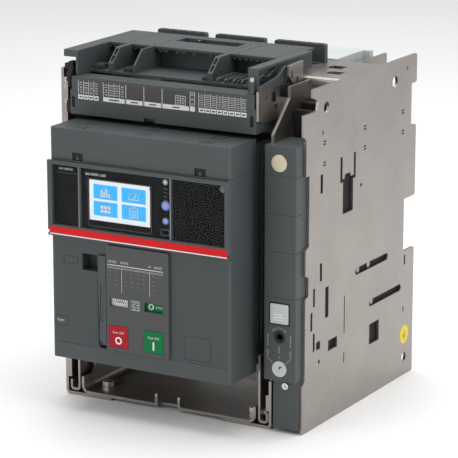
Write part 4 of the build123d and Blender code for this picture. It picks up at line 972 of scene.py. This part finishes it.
def terminalLabels():
    m = labelMarks
    film = bmesh.new()
    white = bmesh.new()
    glyphs = bmesh.new()
    dark = bmesh.new()
    y = boxBox.ys(-ink, 0.1)
    over = boxBox.ys(-ink * 2, 0)
    for left, right, columns, rows, tags in m["groups"]:
        bottom, top = m["cellBottom"], m["cellTop"]
        addBox(film, boxBox.xs(left, right), y, boxBox.zs(bottom, top))
        pitch = (right - left) / columns
        rise = (top - bottom) / rows
        for i in range(columns):
            at = boxBox.x(left + i * pitch)
            addBox(white, (at, at + m["line"]), over, boxBox.zs(bottom, top))
            for j in range(rows):
                low = boxBox.z(bottom + j * rise)
                if j:
                    addBox(white, (at + pitch * 0.12, at + pitch * 0.88), over, (low, low + m["line"] * 0.7))
                wide = pitch * (0.24 + ((i * 5 + j * 3) % 3) * 0.07)
                mid = at + pitch * 0.55
                addBox(glyphs, (mid - wide, mid + wide), over, (low + rise * 0.36, low + rise * 0.68))
        step = (right - left) / tags
        for i in range(tags):
            at = boxBox.x(left + i * step)
            gap = 0.35
            addBox(white, (at + gap * (i > 0), at + step - gap), over, boxBox.zs(m["tagBottom"], bottom))
            mid = at + step / 2
            wide = min(step * 0.28, 6.0)
            z = boxBox.z((m["tagBottom"] + bottom) / 2)
            addBox(dark, (mid - wide, mid + wide), boxBox.ys(-ink * 3, 0), (z - 0.7, z + 0.7))
    for left, right in m["blanks"]:
        addBox(film, boxBox.xs(left, right), y, boxBox.zs(m["cellBottom"], m["cellTop"] - 0.6))
        addBox(white, boxBox.xs(left - 0.9, left - 0.3), over, boxBox.zs(m["tagBottom"], m["cellTop"]))
        addBox(white, boxBox.xs(left, right), over, boxBox.zs(m["tagBottom"], m["cellBottom"]))
        mid = boxBox.x((left + right) / 2)
        z = boxBox.z((m["tagBottom"] + m["cellBottom"]) / 2)
        addBox(dark, (mid - 4.2, mid + 4.2), boxBox.ys(-ink * 3, 0), (z - 0.6, z + 0.6))
    # the framed four-way block and the narrow column after the wide blank
    for x0, x1, columns, rows in ((123.2, 134.6, 2, 2), (140.0, 145.0, 1, 3)):
        low, high = m["cellBottom"] + 0.4, m["cellBottom"] + (9.6 if columns == 2 else 14.4)
        outer = boxBox.xz((x0, low), (x1, low), (x1, high), (x0, high), (x0, low))
        addStroke(white, outer, 0.5, boxBox.ys(-ink * 3, 0))
        for i in range(columns):
            for j in range(rows):
                cx = boxBox.x(x0 + (x1 - x0) * (i + 0.5) / columns)
                cz = boxBox.z(low + (high - low) * (j + 0.5) / rows)
                addBox(glyphs, (cx - 1.4, cx + 1.4), boxBox.ys(-ink * 3, 0), (cz - 0.9, cz + 0.9))
        if columns == 2:
            mid = boxBox.x((x0 + x1) / 2)
            addStroke(white, [(mid, boxBox.z(low)), (mid, boxBox.z(high))], 0.5, boxBox.ys(-ink * 3, 0))
            half = boxBox.z((low + high) / 2)
            addStroke(white, [(boxBox.x(x0), half), (boxBox.x(x1), half)], 0.4, boxBox.ys(-ink * 3, 0))
    addBox(white, boxBox.xs(139.6, 145.4), over, boxBox.zs(m["tagBottom"], m["cellBottom"]))
    finishPiece("labelFilm", film, "terminal_box", "labelFilm")
    finishPiece("labelLines", white, "terminal_box", "whiteInk")
    finishPiece("labelGlyphs", glyphs, "terminal_box", "greyInk")
    finishPiece("tagGlyphs", dark, "terminal_box", "darkInk")


terminalLabels()


def boxEndSlots():
    bm = bmesh.new()
    for left, right in ((1.6, 5.6), (207.0, 210.8)):
        addBox(bm, boxBox.xs(left, right), boxBox.ys(1.2, 1.9), boxBox.zs(7.0, 17.8))
    finishPiece("boxSlotShade", bm, "terminal_box", "shadowBlack")


boxEndSlots()

# ---- wiring cover details

wiringMarks = {
    "hookRadius": 2.5, "hookHole": 1.1, "hookPitch": 6.4, "deckFront": 60.0, "deckUnder": 22.7,
    "hookRuns": [(17.5, 2), (41.5, 3), (77.5, 2), (97.5, 2), (117.0, 1), (136.0, 3), (163.5, 7)],
    "floorTop": 2.7, "floorFront": 22.5,
    "deckScrews": ((36.0, 93.0), (93.0, 112.0), (150.0, 86.0), (196.0, 112.0)),
    "deckCatches": (62.0, 88.0, 128.0, 151.0), "catchLength": 7,
}


def deckHooks():
    # round cable-tie hooks under the deck's front edge
    m = wiringMarks
    bm = bmesh.new()
    for start, count in m["hookRuns"]:
        for i in range(count):
            x = wiringBox.x(start + i * m["hookPitch"])
            z = wiringBox.z(m["deckUnder"] - 0.6)
            y = wiringBox.ys(m["deckFront"] + 0.1, m["deckFront"] + 2.4)
            addRoundRing(bm, x, z, (m["hookRadius"], m["hookHole"]), 24, y)
    finishPiece("deckHooks", bm, "wiring_cover", "dark_plastic", 0.2)


def floorCombs():
    # small slotted blocks on the floor beside the dividers, and the ribs of the right bay
    m = wiringMarks
    bm = bmesh.new()
    low = wiringBox.z(m["floorTop"])
    for start, count, pitch, tall in ((20.0, 4, 2.8, 5.0), (55.0, 5, 2.6, 4.2), (146.0, 5, 2.6, 3.4)):
        for i in range(count):
            x = wiringBox.x(start + i * pitch)
            y = wiringBox.y(m["floorFront"] + 2.0)
            addBox(bm, (x, x + 1.1), (y, y + 14), (low, low + tall))
        addBox(bm, wiringBox.xs(start - 0.4, start + count * pitch),
               wiringBox.ys(m["floorFront"] + 4, m["floorFront"] + 6), (low, low + tall * 0.55))
    for i in range(5):
        x = wiringBox.x(163.0 + i * 9.4)
        addPrism(bm, [(wiringBox.y(23), low), (wiringBox.y(23), low + 2.6), (wiringBox.y(26), low + 4.4),
                      (wiringBox.y(60), low + 4.4), (wiringBox.y(60), low)], "x", (x, x + 1.7))
    finishPiece("floorCombs", bm, "wiring_cover", "dark_plastic", 0.2)


def deckDetails():
    # countersunk screw seats painted black as shade in their recesses, their screws, and catches on the deck
    bm = bmesh.new()
    top = wiringBox.high.z
    for right, behind in wiringMarks["deckScrews"]:
        addLathe(bm, (wiringBox.x(right), wiringBox.y(behind), top - 0.9), "z",
                 [(3.4, 0), (3.4, 0.85), (2.9, 0.9), (2.5, 0.3), (0, 0.25)], 28)
    finishPiece("deckScrewSeatShade", bm, "wiring_cover", "shadowBlack")
    bm = bmesh.new()
    for right, behind in wiringMarks["deckScrews"]:
        addCrossScrew(bm, (wiringBox.x(right), wiringBox.y(behind), top - 0.85), "z", 2.3, 0.6)
    finishPiece("deckScrews", bm, "wiring_cover", "spring_steel")
    bm = bmesh.new()
    for right in wiringMarks["deckCatches"]:
        addBox(bm, wiringBox.xs(right, right + wiringMarks["catchLength"]), wiringBox.ys(128.5, 131.8),
               (top - 2.0, top - 0.05))
    finishPiece("deckCatches", bm, "wiring_cover", "dark_plastic", 0.3)


def sideChannel():
    # the moulded channel between the wiring cover and the steel cheek, with its spring clip
    bracket = Ruler("side_brackets")
    right = bracket.high.x
    bm = bmesh.new()
    x = (right - 12.3, right - 9.2)
    outline = wiringBox.yz((-1.5, 2.5), (53, 2.5), (56, 19), (51, 20.5), (34, 12.5), (8, 9.0), (-1.5, 8.0))
    addPrism(bm, outline, "x", x)
    finishPiece("channelWall", bm, "wiring_cover", "dark_plastic", 0.4)
    bm = bmesh.new()
    addBox(bm, (wiringBox.x(214.0), right - 12.2), wiringBox.ys(1, 53), wiringBox.zs(2.2, 4.0))
    for behind in (10, 22, 34):
        addBox(bm, (wiringBox.x(214.5), right - 12.2), wiringBox.ys(behind, behind + 2),
               wiringBox.zs(4.0, 8.0))
    finishPiece("channelFloor", bm, "wiring_cover", "dark_plastic", 0.3)
    bm = bmesh.new()
    path = wiringBox.yz((6, 13.0), (16, 15.5), (27, 12.0), (38, 17.0), (46, 18.2))
    for (ya, za), (yb, zb) in zip(path, path[1:]):
        addPrism(bm, [(ya, za), (yb, zb), (yb, zb + 0.8), (ya, za + 0.8)], "x", wiringBox.xs(215.2, 219.4))
    finishPiece("springClip", bm, "wiring_cover", "plain_steel", 0.2)
    bm = bmesh.new()
    addBox(bm, wiringBox.xs(216.8, 220.6), wiringBox.ys(-4.5, -1.8), wiringBox.zs(-11, 13.5))
    addBox(bm, wiringBox.xs(214.0, 216.8), wiringBox.ys(-4.5, -2.5), wiringBox.zs(-5, 2))
    finishPiece("channelFinger", bm, "wiring_cover", "dark_plastic", 0.4)
    bm = bmesh.new()
    addBox(bm, wiringBox.xs(217.0, 220.3), wiringBox.ys(-4.7, -2.2), wiringBox.zs(12.4, 16.5))
    finishPiece("fingerTip", bm, "wiring_cover", "button_grey", 0.4)


def leftClips():
    # dark catches between the terminal box and the left plate
    bm = bmesh.new()
    x = leftBox.xs(9.2, 14.4)
    outline = boxBox.yz((1.5, 1), (14, 1), (14, 52), (6, 52), (6, 45), (1.5, 40), (1.5, 27),
                        (5, 25), (5, 16), (1.5, 14))
    addPrism(bm, outline, "x", x)
    addBox(bm, leftBox.xs(5.0, 9.4), boxBox.ys(5.5, 12), boxBox.zs(44, 50))
    finishPiece("leftCatch", bm, "terminal_box", "shadowBlack", 0.4)
    bm = bmesh.new()
    for up in (12.0, 27.5, 33.5):
        addLathe(bm, (leftBox.x(7.0), boxBox.y(6.0), boxBox.z(up)), "y",
                 [(2.6, 0), (2.6, 1.0), (1.6, 1.5), (1.5, 0.6), (0, 0.5)], 24)
    finishPiece("leftCatchStuds", bm, "terminal_box", "plain_steel")


deckHooks()
floorCombs()
deckDetails()
sideChannel()
leftClips()
print("terminal box and wiring cover done")

# ---- racking column marks

columnMarks = {"disc": (17.2, 12.2, 8.2), "socket": (17.4, 45.2), "button": (17.45, 68.85),
               "buttonHalf": 10.9, "rimOut": 0.7, "rimIn": 0.55}


def columnPrint():
    bm = bmesh.new()
    y = columnBox.ys(-ink, 0.1)
    dx, dz, dr = columnMarks["disc"]
    sx, sz = columnMarks["socket"]
    arc = [(columnBox.x(sx + 9.4 * math.cos(t)), columnBox.z(sz + 9.4 * math.sin(t)))
           for t in [math.radians(a) for a in range(48, 133, 7)]]
    addStroke(bm, arc, 0.8, y)
    for end, side in ((arc[0], 1), (arc[-1], -1)):
        addPrism(bm, [(end[0] + side * 1.5, end[1] - 1.2), (end[0] - side * 0.2, end[1] + 1.4),
                      (end[0] - side * 1.2, end[1] - 0.9)], "y", y)
    # position pictograms joined to the disc
    for side, up in ((-1, 17.0), (1, 18.0)):
        corner = (columnBox.x(dx + side * 12.6), columnBox.z(dz + up - 6.5))
        addStroke(bm, [(columnBox.x(dx + side * 12.6), columnBox.z(dz + up - 2.5)), corner,
                       (columnBox.x(dx + side * 7.8), columnBox.z(dz + 6.5))], 0.55, y)
        cx, cz = columnBox.x(dx + side * 12.6), columnBox.z(dz + up)
        diamond = [(cx - 1.5, cz), (cx, cz + 2.2), (cx + 1.5, cz), (cx, cz - 2.2), (cx - 1.5, cz)]
        addStroke(bm, diamond, 0.5, y)
        for i in range(6):
            z = columnBox.z(dz + up + 6.0 + i * 2.1)
            addBox(bm, (cx - 0.55, cx + 0.55), y, (z, z + (1.5, 1.1)[i % 2]))
    addStroke(bm, columnBox.xz((dx, dz + dr + 2.6), (dx, dz + dr + 5.2)), 0.5, y)
    for i in range(3):
        z = columnBox.z(dz + dr + 8.4 + i * 2.4)
        addBox(bm, columnBox.xs(dx - 0.6, dx + 0.6), y, (z, z + 1.5))
    finishPiece("columnPrint", bm, "racking_column", "greyInk")

    bm = bmesh.new()
    disc = Ruler("position_indicator")
    cx, cz = disc.centre()
    pointer = [(cx - 0.4, cz - 0.4), (cx + 2.6, cz + 2.6), (cx + 0.4, cz + 3.1), (cx - 1.0, cz + 0.6)]
    addPrism(bm, pointer, "y", disc.ys(-ink, 0.1))
    finishPiece("indicatorPointer", bm, "position_indicator", "darkInk")


def columnRings():
    # a black ring painted as shade in the gap around the release button, and the rim and painted shade of the
    # crank socket
    bm = bmesh.new()
    bx, bz = columnMarks["button"]
    out = columnMarks["buttonHalf"] + columnMarks["rimOut"]
    within = columnMarks["buttonHalf"] - columnMarks["rimIn"]
    outer = roundedOutline(columnBox.xs(bx - out, bx + out), columnBox.zs(bz - out, bz + out), 1.6)
    inner = roundedOutline(columnBox.xs(bx - within, bx + within),
                           columnBox.zs(bz - within, bz + within), 0.9)
    addFrameRing(bm, outer, inner, columnBox.ys(-0.05, 1.2))
    finishPiece("buttonGapShadow", bm, "racking_column", "shadowBlack")
    bm = bmesh.new()
    sx, sz = columnMarks["socket"]
    addLathe(bm, (columnBox.x(sx), columnBox.y(0), columnBox.z(sz)), "y",
             [(7.2, -1.4), (7.2, 0.1), (6.6, 0.25), (6.2, 0.0), (6.0, -1.4)], 40)
    finishPiece("socketRim", bm, "racking_column", "panelPlastic")
    bm = bmesh.new()
    addRoundRing(bm, columnBox.x(sx), columnBox.z(sz), (6.3, 3.2), 40, columnBox.ys(0.3, 0.75))
    finishPiece("socketShade", bm, "racking_column", "shadowBlack")
    button = Ruler("release_button")
    bm = bmesh.new()
    outline = roundedOutline((button.x(1.3), button.high.x - 1.3), (button.z(1.3), button.high.z - 1.3), 1.0)
    addPrism(bm, outline, "y", button.ys(-0.25, 0.4))
    finishPiece("buttonInset", bm, "release_button", "button_grey", 0.3)
    bm = bmesh.new()
    middle, _ = button.centre()
    for i, (wide, up) in enumerate(((10.0, 8.6), (12.5, 5.8), (9.5, 3.2))):
        for j in range(4):
            left = middle - wide / 2 + j * wide / 4
            addBox(bm, (left, left + wide / 4 - 0.7), button.ys(-0.32, 0),
                   button.zs(up, up + 1.5 - i * 0.2))
    finishPiece("buttonWords", bm, "release_button", "whiteInk")


def columnSideLines():
    # the column's returned side edge, with a shadow gap to the plate
    bm = bmesh.new()
    for up in (2.0, 84.9, 130.7, 169.0, 207.0):
        addBox(bm, (columnBox.high.x - 0.2, columnBox.high.x + 0.02), columnBox.ys(1.5, 8.5),
               columnBox.zs(up, up + 0.3))
    finishPiece("columnSideLines", bm, "racking_column", "shadowBlack")


columnPrint()
columnRings()
columnSideLines()

# ---- side plate fittings

plateMarks = {
    "sheet": 3.0, "sticker": (230.5, 45.0, 10.0),
    # back and up spans of the dark sheet painted as shade behind the windows
    "shadeSpans": (((14.0, 82.0), (66.0, 172.0)), ((74.0, 112.0), (202.0, 270.0)),
              ((84.0, 228.5), (48.0, 150.0)), ((33.0, 46.0), (232.0, 262.0))),
}
outerFace = outerBox.low.x + plateMarks["sheet"]      # the outer face, under its weld spots


def plateFittings():
    behind, up, radius = plateMarks["sticker"]
    y, z = outerBox.y(behind), outerBox.z(up)
    bm = bmesh.new()
    addLathe(bm, (outerFace, y, z), "x", [(radius, -0.1), (radius, 0.08), (0, 0.08)], 48)
    finishPiece("earthSticker", bm, "outer_side_plate", "yellowFilm")
    bm = bmesh.new()
    x = (outerFace, outerFace + 0.14)
    for wide, drop in ((8.4, -1.0), (5.6, -3.0), (2.6, -5.0)):
        addBox(bm, x, (y - wide / 2, y + wide / 2), (z + drop - 0.45, z + drop + 0.45))
    addBox(bm, x, (y - 0.45, y + 0.45), (z - 1.0, z + 5.2))
    finishPiece("earthMark", bm, "outer_side_plate", "darkInk")


plateFittings()


def innerSheetGap():
    # painted shade: a near-black block that fills the gap between the two right plates near the column
    bm = bmesh.new()
    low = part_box("inner_side_plate")[1].x / mm
    x = (low + 0.5, outerBox.low.x - 0.4)
    addBox(bm, x, outerBox.ys(42, 46), outerBox.zs(150, 318))
    addBox(bm, x, outerBox.ys(60, 84), outerBox.zs(300, 322))
    finishPiece("plateGapShade", bm, "racking_column", "shadowBlack", 0.5)
    # painted shade: a dark sheet behind the plate's windows, where the space behind lies in shadow
    bm = bmesh.new()
    back = outerBox.low.x
    for behind, up in plateMarks["shadeSpans"]:
        addBox(bm, (back - 1.6, back - 0.5), outerBox.ys(behind[0], behind[1]), outerBox.zs(up[0], up[1]))
    finishPiece("plateWindowShade", bm, "racking_column", "shadeSheetBlack", 0.3)


innerSheetGap()
print("column and side plates done")

# ---- camera, floor and light

studio = {"floorHalf": 14.0, "floorDrop": 0.0002, "worldStrength": 0.58}
shot = {"azimuth": 29.5, "elevation": 14.13, "distance": 2.595, "lens": 197.5, "aimHeight": 0.1717}


def placeCamera():
    a, e = math.radians(shot["azimuth"]), math.radians(shot["elevation"])
    back = Vector((math.sin(a) * math.cos(e), -math.cos(a) * math.cos(e), math.sin(e)))
    data = bpy.data.cameras.new("camera")
    data.lens = shot["lens"]
    data.sensor_width = 36.0
    data.clip_start = 0.1
    data.clip_end = 60.0
    camera = bpy.data.objects.new("camera", data)
    bpy.context.scene.collection.objects.link(camera)
    camera.location = Vector((0, 0, shot["aimHeight"])) + back * shot["distance"]
    camera.rotation_mode = "QUATERNION"
    camera.rotation_quaternion = (-back).to_track_quat("-Z", "Y")
    bpy.context.scene.camera = camera


def paleFloor():
    f = Finish("paleFloor")
    patch = f.cloud(3, 3)
    colour = f.tint(patch, (0.90, 0.90, 0.90, 1), (0.94, 0.94, 0.94, 1))
    f.shade(Base_Color=colour, Roughness=0.75 + patch * 0.1)
    bm = bmesh.new()
    size = studio["floorHalf"]
    corners = [bm.verts.new((a * size, b * size, 0)) for a, b in ((-1, -1), (1, -1), (1, 1), (-1, 1))]
    bm.faces.new(corners)
    mesh = bpy.data.meshes.new("floor")
    bm.to_mesh(mesh)
    bm.free()
    floor = bpy.data.objects.new("floor", mesh)
    floor.location.z = cadLow.z - studio["floorDrop"]
    bpy.context.scene.collection.objects.link(floor)
    mesh.materials.append(f.material)


def softLight(name, place, target, size, power, colour=(1, 1, 1)):
    data = bpy.data.lights.new(name, "AREA")
    data.shape = "RECTANGLE"
    data.size, data.size_y = size
    data.energy = power
    data.color = colour
    lamp = bpy.data.objects.new(name, data)
    lamp.location = place
    direction = Vector(target) - Vector(place)
    lamp.rotation_mode = "QUATERNION"
    lamp.rotation_quaternion = direction.to_track_quat("-Z", "Y")
    bpy.context.scene.collection.objects.link(lamp)


lights = {
    "topSoft": ((0.0, 0.3, 2.6), (0, 0, 0.2), (2.6, 2.6), 58),
    "rightSoft": ((2.3, -0.3, 1.0), (0.1, 0, 0.15), (1.0, 1.8), 16),
    "frontSoft": ((-1.4, -2.4, 1.5), (0, -0.1, 0.18), (1.6, 1.4), 13),
}
placeCamera()
paleFloor()
for name, (place, target, size, power) in lights.items():
    softLight(name, place, target, size, power)
world = bpy.data.worlds.new("studio")
bpy.context.scene.world = world
world.use_nodes = True
world.node_tree.nodes["Background"].inputs["Color"].default_value = (1, 1, 1, 1)
world.node_tree.nodes["Background"].inputs["Strength"].default_value = studio["worldStrength"]
bpy.context.scene.view_settings.view_transform = "Standard"
print("stage set")
